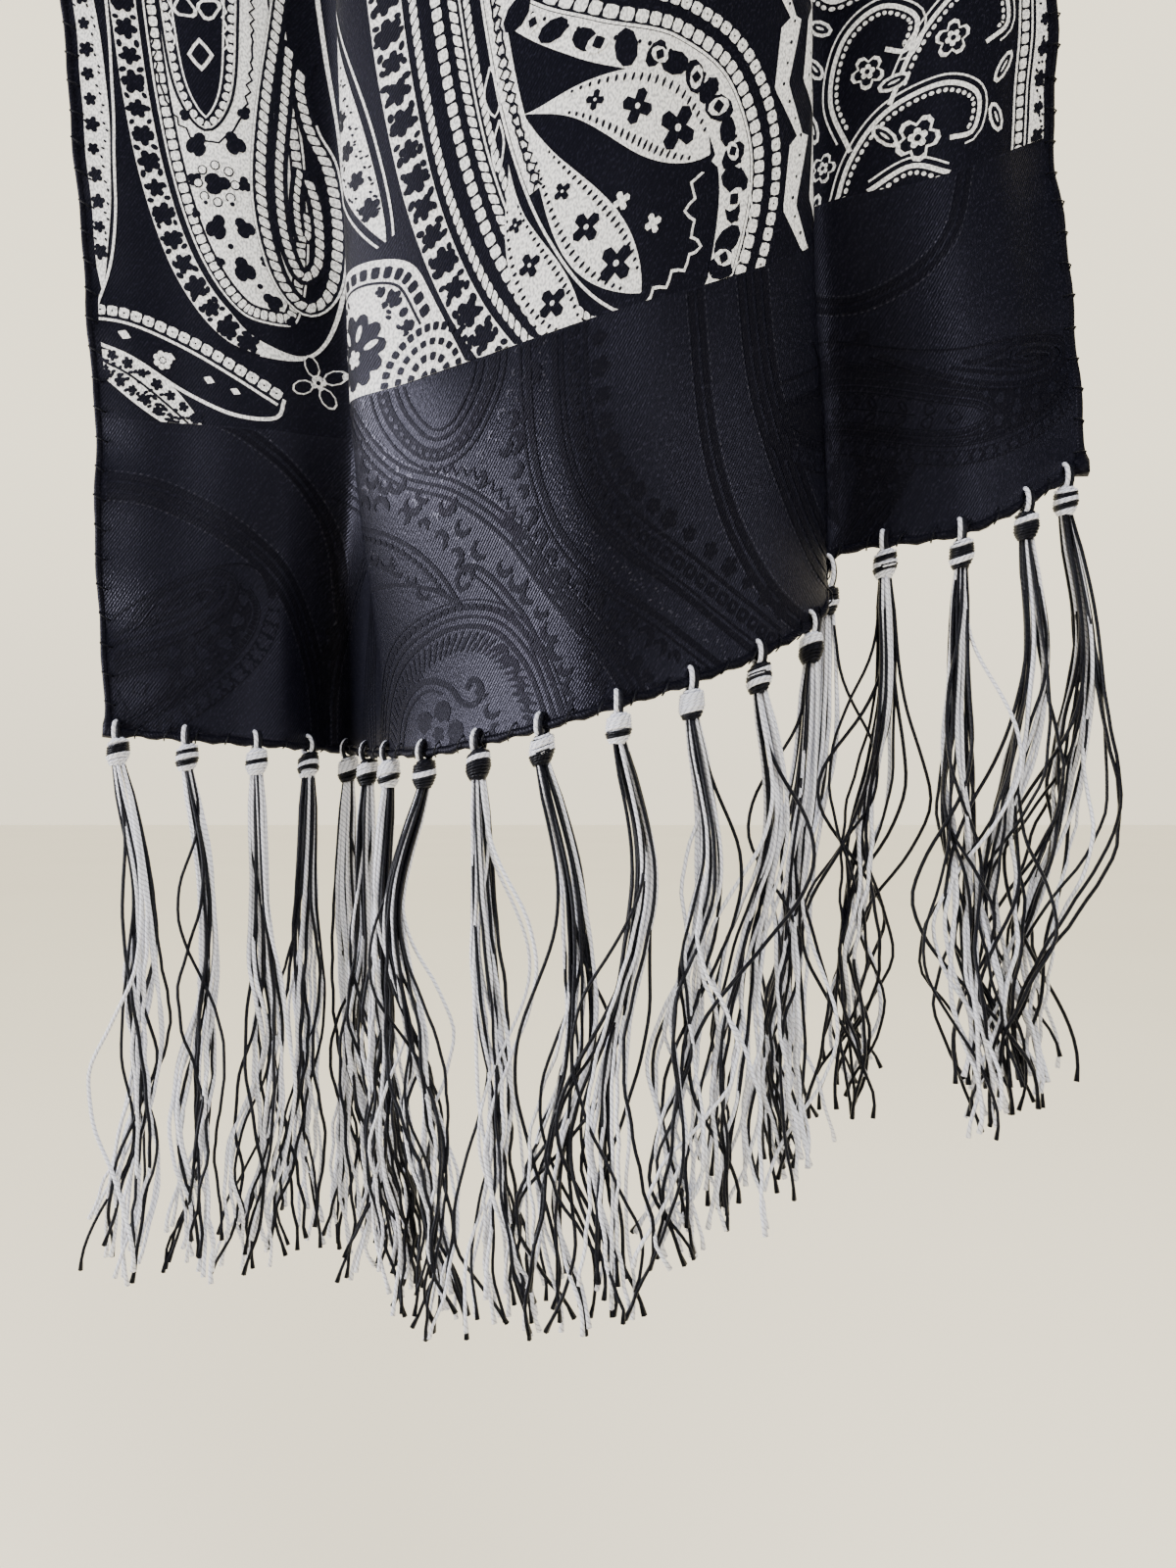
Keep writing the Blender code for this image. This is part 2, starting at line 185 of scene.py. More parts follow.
# %% Where the cloth hangs
class Drape:
    """Where each point of the flat cut hangs: u from its left edge, v up from the front hem, in metres."""

    def __init__(self):
        curves = smooth_through([row[1:] for row in FOLDS], FOLD_POINTS) * MM
        for _ in range(6):  # the hem also rises, so its width is met in a few steps
            curves[:, :2] *= WIDTH / length_along(curves[:, :3])[-1]
        self.u = length_along(curves[:, :3])
        self.hem_line, self.rise, self.upper_line = curves[:, :2], curves[:, 2], curves[:, 3:]
        spread = length_along(self.hem_line)
        self.level_width = spread[-1]
        self.flat_line = np.stack([spread - self.level_width / 2, 0 * spread], axis=1)
        self.shares = np.linspace(0, 1, BLENDS)
        self.folding_fit = self.fits(self.flat_line, self.upper_line)
        self.opening_fit = self.fits(self.upper_line * self.folding_fit[-1], self.hem_line)

    def fits(self, first, second):
        """How much each blend of two lines is widened to keep the cloth's width."""
        blends = [(1 - share) * first + share * second for share in self.shares]
        return [self.level_width / length_along(blend)[-1] for blend in blends]

    def across_and_back(self, u, folding, opening):
        """The place seen from above: flat, then folded, then with the deep fold open at the hem."""
        lines = (self.flat_line, self.upper_line, self.hem_line)
        flat, upper, hem = (point_at(u, self.u, line) for line in lines)
        folding, opening = folding[..., None], opening[..., None]
        folded = (1 - folding) * flat + folding * upper
        folded = folded * np.interp(folding, self.shares, self.folding_fit)
        return ((1 - opening) * folded + opening * hem) * np.interp(opening, self.shares, self.opening_fit)

    def point(self, u, v):
        """The middle of the wall at u, v: down from the rail's axis, round it, and down again behind."""
        u, v = np.broadcast_arrays(np.asarray(u, float), np.asarray(v, float))
        front = FRONT_DROP - np.interp(u, self.u, self.rise)
        below = np.where(v < front, front - v, np.maximum(v - front - TURN_LENGTH, 0.0))
        angle = np.clip((v - front) / TURN_RADIUS, 0.0, math.pi)
        folding = eased(below / FRONT_DROP) * np.where(v < front, 1.0, BACK_FOLDING)
        plan = self.across_and_back(u, folding, eased(1 - v / OPENING_HEIGHT))
        x = plan[..., 0] - LEAN * (v - front - TURN_LENGTH / 2)
        y = plan[..., 1] - TURN_RADIUS * np.cos(angle)
        z = AXIS_HEIGHT + TURN_RADIUS * np.sin(angle) - below
        return np.stack([x, y, z], axis=-1)


def square_to(surface, u, v, step):
    """Out of a surface's printed face, square to both threads. Beyond a side edge it is the edge's own."""
    u = np.clip(u, 0.0, WIDTH)
    across = surface(u + step, v) - surface(u - step, v)
    upward = surface(u, v + step) - surface(u, v - step)
    return unit(np.cross(across, upward))


drape = Drape()
print("the hem is level over", round(drape.level_width, 4), "m")

# %% [markdown]
# ## Soft creases
# Silk that was folded away keeps long soft ridges and troughs. Each one is a bell-shaped bump across the
# cloth that fades in and out along it, listed one by one, so no two are alike.

# %% Soft creases
CREASES = (
    # millimetres: across, wide, deep (a trough if negative), from, to, drift across
    (11,  7.0,  0.4,    0,  420,   6),
    (24,  8.0, -0.6,   -40, 300,  -5),
    (37,  9.0,  0.8,   10,  520,   4),
    (52,  6.0, -0.5,   -30, 260,   5),
    (98,  6.0,  0.5,    20, 380,  -8),
    (118, 8.0, -0.5,   60,  600,  10),
    (139, 9.0,  0.6,  -60,  250, -10),
    (163, 7.0, -0.5,   90,  700,   8),
    (187, 10.0, 0.6,  -20,  330,  -6),
    (212, 7.0, -0.5,   30,  480,   5),
    (262, 8.0,  0.6,  -50,  360,   6),
    (279, 9.0, -0.7,    0,  540,  -7),
    (298, 7.0,  0.6,  -20,  280,   4),
    (60, 10.0,  1.3,  420,  900,  20),
    (150, 9.0, -1.2,  520,  930, -18),
    (240, 11.0, 1.4,  450,  900,  15),
    (40,  9.0,  1.4, 1000, 1480,  10),
    (92,  8.0, -1.5, 1060, 1530, -12),
    (151, 10.0, 1.6, 1010, 1500,   9),
    (205, 8.0, -1.3, 1080, 1540, -10),
    (262, 9.0,  1.5, 1020, 1470,  12),
)
EDGE_WAVES = ((0.0006, 0.047, 0.4), (0.0004, 0.021, 1.9))  # height, length and start at the side edges
EDGE_REACH = 0.012
EDGE_SLANT = 40  # radians for each metre across


def creasing(u, v):
    """How far the cloth stands out of its smooth drape: the sum of bells across times fades along."""
    out = np.zeros(np.broadcast(u, v).shape)
    for across, wide, deep, start, end, drift in np.array(CREASES) * MM:
        along = np.clip((v - start) / (end - start), 0, 1)
        fade = eased(along * 4) * eased((1 - along) * 3)
        out = out + deep * np.exp(-(((u - (across + drift * along)) / wide) ** 2)) * fade
    inwards = np.exp(-np.minimum(u, WIDTH - u) / EDGE_REACH)
    for height, length, start in EDGE_WAVES:
        out = out + height * inwards * np.sin(2 * math.pi * v / length + start + EDGE_SLANT * u)
    return out


FINE_STEP, WIDE_STEP = 0.0004, 0.0006  # metres to each side of a point, to find a direction there


def on_cloth(u, v, off=0.0):
    """A point on the creased cloth, moved out of its printed face by off."""
    u, v = np.broadcast_arrays(np.asarray(u, float), np.asarray(v, float))
    return drape.point(u, v) + square_to(drape.point, u, v, FINE_STEP) * (creasing(u, v) + off)[..., None]


def facing(u, v):
    """The direction out of the creased cloth's printed face."""
    return square_to(on_cloth, u, v, WIDE_STEP)


print("creases:", len(CREASES))

# %% [markdown]
# ## From arrays to a mesh
# Each shape comes as points, faces, and for each corner of a face a place on its own flat map. Several
# shapes are joined by adding up their numbers, and the whole goes into one mesh.


# %% From arrays to a mesh
class Shape:
    """Points, and groups of faces that have the same number of corners, with a map and a paint for each."""

    def __init__(self, points):
        self.points = np.asarray(points, float).reshape(-1, 3)
        self.groups = []

    def add(self, faces, flat, paint=0):
        """Add faces, with the place of each corner on the map and the paint of each face."""
        corners = np.shape(faces)[-1]
        flat = np.broadcast_to(flat, (*np.shape(faces), 2)).reshape(-1, corners, 2)
        faces = np.asarray(faces).reshape(-1, corners)
        self.groups.append((faces, flat, np.broadcast_to(paint, len(faces))))


def joined(shapes):
    """Several shapes as one: each one's faces count on from the points before it."""
    shapes = [shape for shape in shapes if any(len(faces) for faces, _, _ in shape.groups)]
    whole = Shape(np.concatenate([shape.points for shape in shapes]))
    start = 0
    for shape in shapes:
        for faces, flat, paint in shape.groups:
            whole.add(faces + start, flat, paint)
        start += len(shape.points)
    return whole


def make_piece(name, shape, materials):
    """A mesh object that rides on the scarf, with its map and one material for each paint."""
    mesh = bpy.data.meshes.new(name)
    faces = [face for group, _, _ in shape.groups for face in group.tolist()]
    mesh.from_pydata(shape.points.tolist(), [], faces)
    for material in materials:
        mesh.materials.append(material)
    flat = np.concatenate([flat.reshape(-1, 2) for _, flat, _ in shape.groups])
    mesh.uv_layers.new(name="cut").data.foreach_set("uv", flat.ravel())
    paint = np.concatenate([paint for _, _, paint in shape.groups])
    mesh.polygons.foreach_set("material_index", paint.astype(np.int32))
    mesh.shade_smooth()
    mesh.update()
    piece = linked(name, mesh)
    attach(piece, "root")
    triangles = sum(len(group) * (group.shape[1] - 2) for group, _, _ in shape.groups)
    print(f"{name}: {triangles} triangles")
    return piece


# %% Sheets and tubes
NEXT_START = 0.0013


def sheet_faces(rows, columns):
    """The four corners of each cell of a grid of points."""
    index = np.arange(rows * columns).reshape(rows, columns)
    corners = (index[:-1, :-1], index[:-1, 1:], index[1:, 1:], index[1:, :-1])
    return np.stack(corners, axis=-1).reshape(-1, 4)


def closed_shell(outer, inner, flat, paint):
    """Two grids of points, one above the other, closed by a rim. flat is the map, paint is for outer."""
    rows, columns = outer.shape[:2]
    shape = Shape(np.concatenate([outer.reshape(-1, 3), inner.reshape(-1, 3)]))
    flat = np.concatenate([flat.reshape(-1, 2)] * 2)
    top = sheet_faces(rows, columns)
    under = top[:, ::-1] + rows * columns
    index = np.arange(rows * columns).reshape(rows, columns)
    rim = np.concatenate([index[0], index[1:, -1], index[-1, -2::-1], index[-2:0:-1, 0]])
    onward = np.roll(rim, -1)
    sides = np.stack([rim, rim + rows * columns, onward + rows * columns, onward], axis=-1)
    for faces, colour in ((top, paint), (under, 0), (sides, 0)):
        shape.add(faces, flat[faces], colour)
    return shape


def tubes(centres, radii, sides, reference, closed=False, paint=0):
    """Round skins along paths, all at once: centres is paths by stations by 3.

    At each station a ring stands square to the path: its first direction is square to the path and to
    reference, its second to both. The map runs along the path in metres, and once round it. It starts
    NEXT_START further on each next path, so that the plies of neighbours don't line up.
    """
    paths, stations = centres.shape[:2]
    if closed:
        along = unit(np.roll(centres, -1, axis=1) - np.roll(centres, 1, axis=1))
    else:
        along = unit(np.gradient(centres, axis=1))
    side = unit(np.cross(along, reference))
    other = np.cross(along, side)
    turn = np.arange(sides) / sides
    angle = np.arange(sides)[:, None] * 2 * math.pi / sides
    radii = np.broadcast_to(radii, (paths, stations))[:, :, None, None]
    ring = np.cos(angle) * side[:, :, None] + np.sin(angle) * other[:, :, None]
    shape = Shape(centres[:, :, None] + radii * ring)
    index = np.arange(paths * stations * sides).reshape(paths, stations, sides)
    nearer = index if closed else index[:, :-1]
    farther = np.roll(index, -1, axis=1) if closed else index[:, 1:]
    faces = np.stack([nearer, np.roll(nearer, -1, 2), np.roll(farther, -1, 2), farther], axis=-1)
    steps = np.linalg.norm(np.roll(centres, -1, axis=1) - centres, axis=2)
    far = (np.cumsum(steps, axis=1) + NEXT_START * np.arange(paths)[:, None])[:, : faces.shape[1]]
    near = far - steps[:, : faces.shape[1]]
    flat = np.zeros((*faces.shape, 2))
    flat[..., 0] = np.stack([near, near, far, far], axis=-1)[:, :, None]
    flat[..., 1] = np.stack([turn, turn + 1 / sides, turn + 1 / sides, turn], axis=-1)
    paint = np.broadcast_to(paint, paths)
    shape.add(faces, flat, np.repeat(paint, faces.shape[1] * sides))
    if not closed:
        ends = np.concatenate([index[:, 0, ::-1], index[:, -1]])
        shape.add(ends, 0.0, np.concatenate([paint, paint]))
    return shape


# %% [markdown]
# ## The silk
# Two threads cross in silk jacquard. Where the loom floats one of them it shines, where it ties it down
# it looks matt, so the woven design of the end bands is drawn further down in matt silk on shiny silk.
# The printed strip between the bands is dyed a little darker and shines less. The map of the cloth is in
# metres, so the slanting weave keeps its real size.
# Glints on the threads are painted in as a lighter colour, in small spots and on the floats.


# %% Node helpers
class Nodes:
    """The node tree of a material or world, with short calls for the nodes that the finishes use."""

    def __init__(self, owner):
        owner.use_nodes = True
        self.owner, self.tree = owner, owner.node_tree

    def fill(self, node, inputs):
        """Set each input to a value, or join it to another node's output."""
        for name, value in inputs.items():
            if isinstance(value, bpy.types.NodeSocket):
                self.tree.links.new(value, node.inputs[name])
            else:
                node.inputs[name].default_value = value
        return node

    def add(self, kind, inputs=(), **settings):
        """A new node with its settings and inputs."""
        node = self.tree.nodes.new("ShaderNode" + kind)
        for name, value in settings.items():
            setattr(node, name, value)
        return self.fill(node, dict(inputs))

    def finish(self, last, inputs):
        """Fill the node that makes the look, and give back the material or world."""
        self.fill(self.tree.nodes[last], inputs)
        return self.owner

    def math(self, operation, *values):
        """One sum of one or two values."""
        return self.add("Math", dict(enumerate(values)), operation=operation).outputs[0]

    def between(self, value, low, high, to_low=0.0, to_high=1.0, steps="SMOOTHSTEP"):
        """Map a value from one range to another, along a smooth step or a straight one."""
        inputs = {"Value": value, "From Min": low, "From Max": high, "To Min": to_low, "To Max": to_high}
        return self.add("MapRange", inputs, interpolation_type=steps).outputs["Result"]

    def mix(self, share, first, second):
        """What lies between two colours, or between two numbers."""
        kind, socket, result = ("RGBA", 6, 2) if np.ndim(first) else ("FLOAT", 2, 0)
        inputs = {0: share, socket: first, socket + 1: second}
        return self.add("Mix", inputs, data_type=kind).outputs[result]

    def on_cut(self, *scale):
        """The place on the cut, stretched if a scale is given for each direction."""
        place = self.add("UVMap", uv_map="cut").outputs["UV"]
        if scale:
            place = self.add("VectorMath", {0: place, 1: scale}, operation="MULTIPLY").outputs[0]
        return place

    def noise(self, vector, scale, detail):
        """Cloudy noise between 0 and 1."""
        return self.add("TexNoise", {"Vector": vector, "Scale": scale, "Detail": detail}).outputs["Fac"]

    def bump(self, height, strength, distance):
        """The direction of a surface that is as uneven as the height."""
        inputs = {"Height": height, "Strength": strength, "Distance": distance}
        return self.add("Bump", inputs).outputs["Normal"]


# %% The weave
RIB_PITCH = 0.00065
RIB_TURN = 38  # degrees
WAVE_LENGTH = 0.314  # of a wave texture of scale 1
SILK_DEPTH = 0.00018
SILK_TINT = (0.80, 0.78, 1.0, 1.0)


def weave(nodes):
    """Height of the threads: slanting ribs of a satin weave, broken by noise."""
    turned = nodes.add("Mapping", {"Vector": nodes.on_cut(), "Rotation": (0, 0, math.radians(RIB_TURN))})
    ribs = nodes.add("TexWave", {
        "Vector": turned.outputs[0], "Scale": WAVE_LENGTH / RIB_PITCH,
        "Distortion": 0.8, "Detail": 1.0, "Detail Scale": 3.0,
    }, bands_direction="X").outputs["Fac"]
    grain = nodes.noise(nodes.on_cut(2400.0, 900.0, 1.0), 1.0, 1.0)
    return nodes.math("ADD", nodes.math("MULTIPLY", ribs, 0.4), nodes.math("MULTIPLY", grain, 0.6))


def silk(name, colour, painted_glint, roughness, specular, low=0.58, high=0.72):
    """Woven silk: slanting ribs, and where noise passes low a thread lies on top: smoother, and in a lighter
    colour that is a painted glint.
    """
    nodes = Nodes(bpy.data.materials.new(name))
    bright = nodes.between(nodes.noise(nodes.on_cut(2100, 1300, 1), 1.0, 0.0), low, high)
    return nodes.finish("Principled BSDF", {
        "Base Color": nodes.mix(bright, colour, painted_glint),
        "Roughness": nodes.mix(bright, roughness, roughness * 0.75),
        "Normal": nodes.bump(weave(nodes), 0.8, SILK_DEPTH),
        "Specular IOR Level": specular, "Specular Tint": SILK_TINT,
    })


# The second colour of each silk is a painted glint, lighter than its own colour. On the pale print it covers
# about half, as a mottle of painted sheen.
ground_silk = silk("ground_silk", (0.0034, 0.0037, 0.0072, 1), (0.0120, 0.0122, 0.0210, 1), 0.38, 0.44)
printed_dark = silk("printed_dark", (0.0031, 0.0034, 0.0066, 1), (0.0100, 0.0103, 0.0180, 1), 0.44, 0.29)
woven_matt = silk("woven_matt", (0.0035, 0.0036, 0.0065, 1), (0.0080, 0.0082, 0.0120, 1), 0.50, 0.24)
# Floats shine more, and their lighter colour is a painted glint.
woven_float_painted_glint = silk("woven_float_painted_glint", (0.0180, 0.0185, 0.0270, 1), (0.0450, 0.0450, 0.0580, 1), 0.32, 0.75)
pale_print = silk("pale_print", (0.47, 0.48, 0.51, 1), (0.88, 0.89, 0.91, 1), 0.45, 0.40, 0.30, 0.62)
print("silks:", [finish.name for finish in (ground_silk, printed_dark, woven_matt, woven_float_painted_glint, pale_print)])

# %% [markdown]
# ## The thread
# Tassels and stitches are silk thread of two plies. The plies wind round each other, which shows as a
# slanting groove: on the tube's own map that is a wave of both the length and the turn.
# The groove is a dip in the bump and also painted shade: a darker colour along it.

# %% Thread finish
PLY_PITCH = 0.0027
PLIES = 2
GROOVE_SHARE = 0.22
THREAD_DEPTH = 0.00012


def thread(name, colour, painted_groove_shade, depth, roughness):
    """Two plies, with painted shade in the groove between them as well as a dip there, fine fibres and worn
    spots.
    """
    nodes = Nodes(bpy.data.materials.new(name))
    along, turn, _ = nodes.add("SeparateXYZ", {0: nodes.on_cut()}).outputs
    slant = nodes.math("ADD", nodes.math("DIVIDE", along, PLY_PITCH), turn)
    slant = nodes.math("PINGPONG", nodes.math("MULTIPLY", slant, PLIES), 0.5)
    # ridge is the plies' profile: it shapes the bump, and it also paints shade into the groove.
    ridge = nodes.between(slant, 0.0, GROOVE_SHARE, 1.0 - depth, 1.0)
    place = nodes.add("TexCoord").outputs["Object"]
    fibres = nodes.noise(place, 2400.0, 2.0)
    worn = nodes.between(nodes.noise(place, 60.0, 1.0), 0.35, 0.8, 1.0, 0.82)
    height = nodes.math("ADD", ridge, nodes.math("MULTIPLY", fibres, 0.4))
    return nodes.finish("Principled BSDF", {
        "Base Color": nodes.mix(nodes.math("MULTIPLY", ridge, worn), painted_groove_shade, colour),
        "Roughness": nodes.between(fibres, 0.2, 0.8, roughness - 0.08, roughness + 0.1),
        "Normal": nodes.bump(height, 0.6, THREAD_DEPTH), "Specular IOR Level": 0.3,
    })


# Each thread: its colour, the painted shade in its groove, how deep the groove goes in the bump and in that
# shade, and roughness.
THREADS = (
    thread("pale_thread", (0.79, 0.81, 0.90, 1), (0.26, 0.27, 0.36, 1), 0.78, 0.42),
    thread("black_thread", (0.0070, 0.0075, 0.0120, 1), (0.0015, 0.0015, 0.0025, 1), 0.9, 0.42),
)
PALE, BLACK = 0, 1
print("threads:", [finish.name for finish in THREADS])

# %% [markdown]
# ## The cloth
# The cloth is one closed shell a third of a millimetre thick. Columns stand closer where the folds bend,
# and rows are closer in the lower end, which is seen from near by. Between the two plain end bands its
# printed face is dyed darker and less shiny.

# %% The cloth
CLOTH = 0.00035
COLUMNS = 204
TURN_WORTH = 0.0025  # metres of width that one radian of bend is worth
BORDER = 80.0
ROWS = (  # from, to, and how many rows
    (0.0, 0.08, 32), (0.08, 0.20, 46), (0.20, 0.90, 84), (0.90, 1.01, 20), (1.01, 1.42, 22),
    (1.42, LENGTH, 4),
)


def close_columns(count):
    """Places across the cut. A place is worth its own width and the turn of both fold lines there."""
    worth = np.diff(drape.u)
    for line in (drape.hem_line, drape.upper_line):
        worth = worth + TURN_WORTH * np.abs(np.diff(headings(line)))
    total = np.concatenate([[0.0], np.cumsum(worth)])
    return np.interp(np.linspace(0, total[-1], count + 1), total, drape.u)


rows = [np.linspace(low, high, count, endpoint=False) for low, high, count in ROWS]
rows = np.concatenate([*rows, [LENGTH]])
cut_u, cut_v = np.meshgrid(close_columns(COLUMNS), rows)
row_middles = (rows[1:] + rows[:-1]) / 2
dyed = (row_middles > BORDER * MM) & (row_middles < LENGTH - BORDER * MM)
shell = closed_shell(
    on_cloth(cut_u, cut_v, CLOTH / 2), on_cloth(cut_u, cut_v, -CLOTH / 2), np.stack([cut_u, cut_v], axis=-1),
    np.repeat(dyed.astype(int), COLUMNS),
)
cloth = make_piece("silk_cloth", shell, [ground_silk, printed_dark])
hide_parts("scarf_cloth")

# %% [markdown]
# ## The print
# The pale design is printed on the woven silk: paisleys, leaves and small flowers. It is worked out flat,
# in millimetres on the cut, and then laid on the cloth point by point, so it follows every fold. Ink is
# stacked in levels, less than a tenth of a millimetre apart: pale, dark on it, and pale on the dark.
# The loom's own design is laid the same way, where the end bands are plain.

# %% A line to draw along
# Level 0.5 takes the float silk, whose lighter colour is a painted glint.
PAINTS = {0.5: 2, 1: 0, 2: 1, 3: 0, 4: 1}  # which of a design's materials each level takes
CELL = 1.4  # millimetres between points of printed areas
RING = 2.1  # millimetres between the rings of points in stamped shapes
ink = []


def numbers(text):
    """A table written as text: commas between the numbers of a row, spaces between rows."""
    return np.array([[float(number) for number in row.split(",")] for row in text.split()])


class Path:
    """A smooth line through a few points of the cut, in millimetres, followed by its own length."""

    def __init__(self, points):
        self.line = smooth_through(numbers(points) if isinstance(points, str) else points, 24)
        self.lengths = length_along(self.line)
        self.length = self.lengths[-1]
        self.heading = headings(self.line)

    def turn(self, along):
        """The direction at a length along the line."""
        return np.interp(along, self.lengths, self.heading)

    def at(self, along, off=0.0):
        """The point at a length along the line, moved to its left by off."""
        along, off = np.broadcast_arrays(along, off)
        left = on_circle(self.turn(along))[..., ::-1] * [-1, 1]
        return point_at(along, self.lengths, self.line) + off[..., None] * left


def valued(size, share):
    """A size that is either one number or a function of the share of the path."""
    return np.asarray(size(share) if callable(size) else np.full_like(share, size), float)


# %% Ribbons, stamps and beads
def grid(points, level):
    """An area of ink from a grid of points."""
    ink.append((points.reshape(-1, 2), [sheet_faces(*points.shape[:2])], level))


def ribbon(path, low, high, level, start=0.0, end=1.0):
    """The area between two distances to the left of a path."""
    share = np.linspace(start, end, max(3, int((end - start) * path.length / CELL) + 2))
    low, high = valued(low, share), valued(high, share)
    off = low + (high - low) * np.linspace(0, 1, int(np.max(high - low) / CELL) + 2)[:, None]
    grid(path.at(share * path.length, off), level)


def blade(path, half, level=1):
    """The area as far to the left of a path as to its right."""
    ribbon(path, lambda s: -half(s), half, level)


def inside(path, inset, level, start=0.0, end=0.5):
    """The area within an outline that runs from tip to tip: each point is joined to its opposite number."""
    share = np.linspace(start, end, int((end - start) * path.length / CELL) + 2)
    near, far = path.at(share * path.length, inset), path.at((1 - share) * path.length, inset)
    rows = int(np.max(np.linalg.norm(far - near, axis=-1)) / CELL) + 2
    grid(near + (far - near) * np.linspace(0, 1, rows)[:, None, None], level)


def fans(points, level):
    """Closed outlines (shapes by corners by 2), each filled from its middle in rings of cells."""
    shapes, corners = points.shape[:2]
    middle = points.mean(axis=1, keepdims=True)
    rings = max(1, round(float(np.max(np.linalg.norm(points - middle, axis=-1))) / RING))
    shares = (np.arange(rings) + 1)[None, :, None, None] / rings
    circles = middle[:, None] + (points - middle)[:, None] * shares
    everything = np.concatenate([middle, circles.reshape(shapes, -1, 2)], axis=1)
    index = np.arange(everything[..., 0].size).reshape(shapes, -1)
    ring = index[:, 1:].reshape(shapes, rings, corners)
    onward = np.roll(ring, -1, 2)
    first = np.stack([np.broadcast_to(index[:, :1], ring[:, 0].shape), ring[:, 0], onward[:, 0]], -1)
    cells = np.stack([ring[:, :-1], ring[:, 1:], onward[:, 1:], onward[:, :-1]], axis=-1)
    ink.append((everything.reshape(-1, 2), [first.reshape(-1, 3), cells.reshape(-1, 4)], level))


def round_shape(corners, petals=0, depth=0.0, square=1.0):
    """An outline of radius 1: a circle, a bloom with round petals, or a box with rounded corners."""
    angle = np.arange(corners) * 2 * math.pi / corners
    radius = 1 - depth * (1 - np.abs(np.cos(petals * angle / 2)) ** 0.7)
    circle = on_circle(angle)
    return radius[:, None] * np.sign(circle) * np.abs(circle) ** square


def oval(wide):
    """A disc of radius 1, made narrower."""
    return DISC * [1, wide]


DISC = round_shape(9)
BEAD = round_shape(8, square=0.5)
BLOOM = round_shape(20, petals=5, depth=0.36)
CROSS = round_shape(16, petals=4, depth=0.55)
TREFOIL = round_shape(18, petals=3, depth=0.5)
DIAMOND = round_shape(8, square=1.8)
GLINT = round_shape(4)


def stamp(places, outline, size, level, turn=0.0, stretch=1.0):
    """The same outline at one or more places, each with its own size, turn and stretch."""
    places = np.atleast_2d(places)
    size = np.broadcast_to(size, len(places))[:, None, None]
    turn = np.broadcast_to(turn, len(places))[:, None]
    x, y = outline[:, 0] * stretch, outline[:, 1]
    turned = np.stack([x * np.cos(turn) - y * np.sin(turn), x * np.sin(turn) + y * np.cos(turn)], axis=-1)
    fans(places[:, None] + size * turned, level)


def stack(places, level, turn, *layers):
    """Stamps on top of each other, each with its outline and size and a level above the one before."""
    for above, (outline, size) in enumerate(layers):
        stamp(places, outline, size, level + above, turn)


def spots(path, pitch, start=0.0, end=1.0):
    """Lengths along a path, evenly spaced, about a pitch apart."""
    count = max(1, round((end - start) * path.length / pitch))
    return path.length * (start + (end - start) * (np.arange(count) + 0.5) / count)


def beads(path, off, wide, pitch, level, start=0.0, end=1.0, outline=BEAD, fill=0.44, slant=0.0):
    """A chain of beads that bend with the path. fill is half a bead's length as a share of the pitch."""
    x, y = outline.T
    along = spots(path, pitch, start, end)[:, None] + x * fill * pitch + slant * y * wide / 2
    fans(path.at(along, off + y * wide / 2), level)


def blooms(path, off, size, pitch, level, start=0.0, end=1.0, outline=BLOOM):
    """Flowers along a path, turned with it."""
    along = spots(path, pitch, start, end)
    number = np.arange(len(along))
    size = size * (1 + 0.14 * np.sin(number * 2.4))
    off = valued(off, along / path.length)
    stamp(path.at(along, off), outline, size, level, path.turn(along) + number * 0.9)


def line(path, off, thick, level=1, *span):
    """A ribbon of one thickness. span is the shares of the path at which it starts and ends."""
    low, high = (lambda s, side=side: valued(off, s) + side * thick / 2 for side in (-1, 1))
    ribbon(path, low, high, level, *span)


def speckle(path, low, high, pitch, level, start=0.0, end=1.0, size=0.32):
    """Small slanting dashes, scattered but seeded, between two distances from a path."""
    along = spots(path, pitch, start, end)
    rng = np.random.default_rng(len(ink))
    share = along / path.length
    low, high = valued(low, share), valued(high, share)
    for _ in range(max(1, round(float(np.max(high - low)) / 1.7))):
        off = low + (high - low) * rng.uniform(0.08, 0.92, len(along))
        place = path.at(along + rng.uniform(-0.4, 0.4, len(along)) * pitch, off)
        stamp(place, round_shape(6), size, level, path.turn(along) + rng.uniform(0.3, 1.3, len(along)), 1.7)


def jumping(path, pitch):
    """A triangle wave of the length along a path, from 1 down to -1 and up again."""
    return lambda share: 2 * np.abs(2 * ((share * path.length / pitch) % 1) - 1) - 1


def zigzag(path, off, height, pitch, thick, level=1, *span):
    """A thin line that jumps to and fro across a path."""
    wave = jumping(path, pitch)
    line(path, lambda s: off + height * wave(s), thick, level, *span)


def scallops(path, off, height, pitch, thick, level=1, *span):
    """A thin line of arches: the size of a sine of its length."""
    def wave(share):
        return off + height * np.abs(np.sin(math.pi * share * path.length / pitch))
    line(path, wave, thick, level, *span)


# %% Leaves, petals and small flowers
def leaf_width(wide, fullest=0.5):
    """Half the width of a leaf: nothing at both ends, and the most at one share of its length."""
    power = math.log(0.5) / math.log(fullest)
    return lambda share: wide * np.sin(math.pi * np.clip(share, 0.002, 0.998) ** power) ** 0.8


def leaf(points, wide, fullest=0.5, flower=2.0, outline=0.0):
    """A pale leaf with dark flowers and specks. With an outline, a thin line follows it that far off."""
    path, half = Path(points), leaf_width(wide, fullest)
    blade(path, half)
    for side in (1, -1) if outline else ():
        line(path, lambda s: side * (half(s) + outline), 0.55)
    blooms(path, 0.0, flower, flower * 3.4, 2, 0.12, 0.93)
    for low, high in ((0.35, 0.9), (-0.9, -0.35)):
        speckle(path, lambda s: half(s) * low, lambda s: half(s) * high, 2.4, 2, 0.15, 0.9)


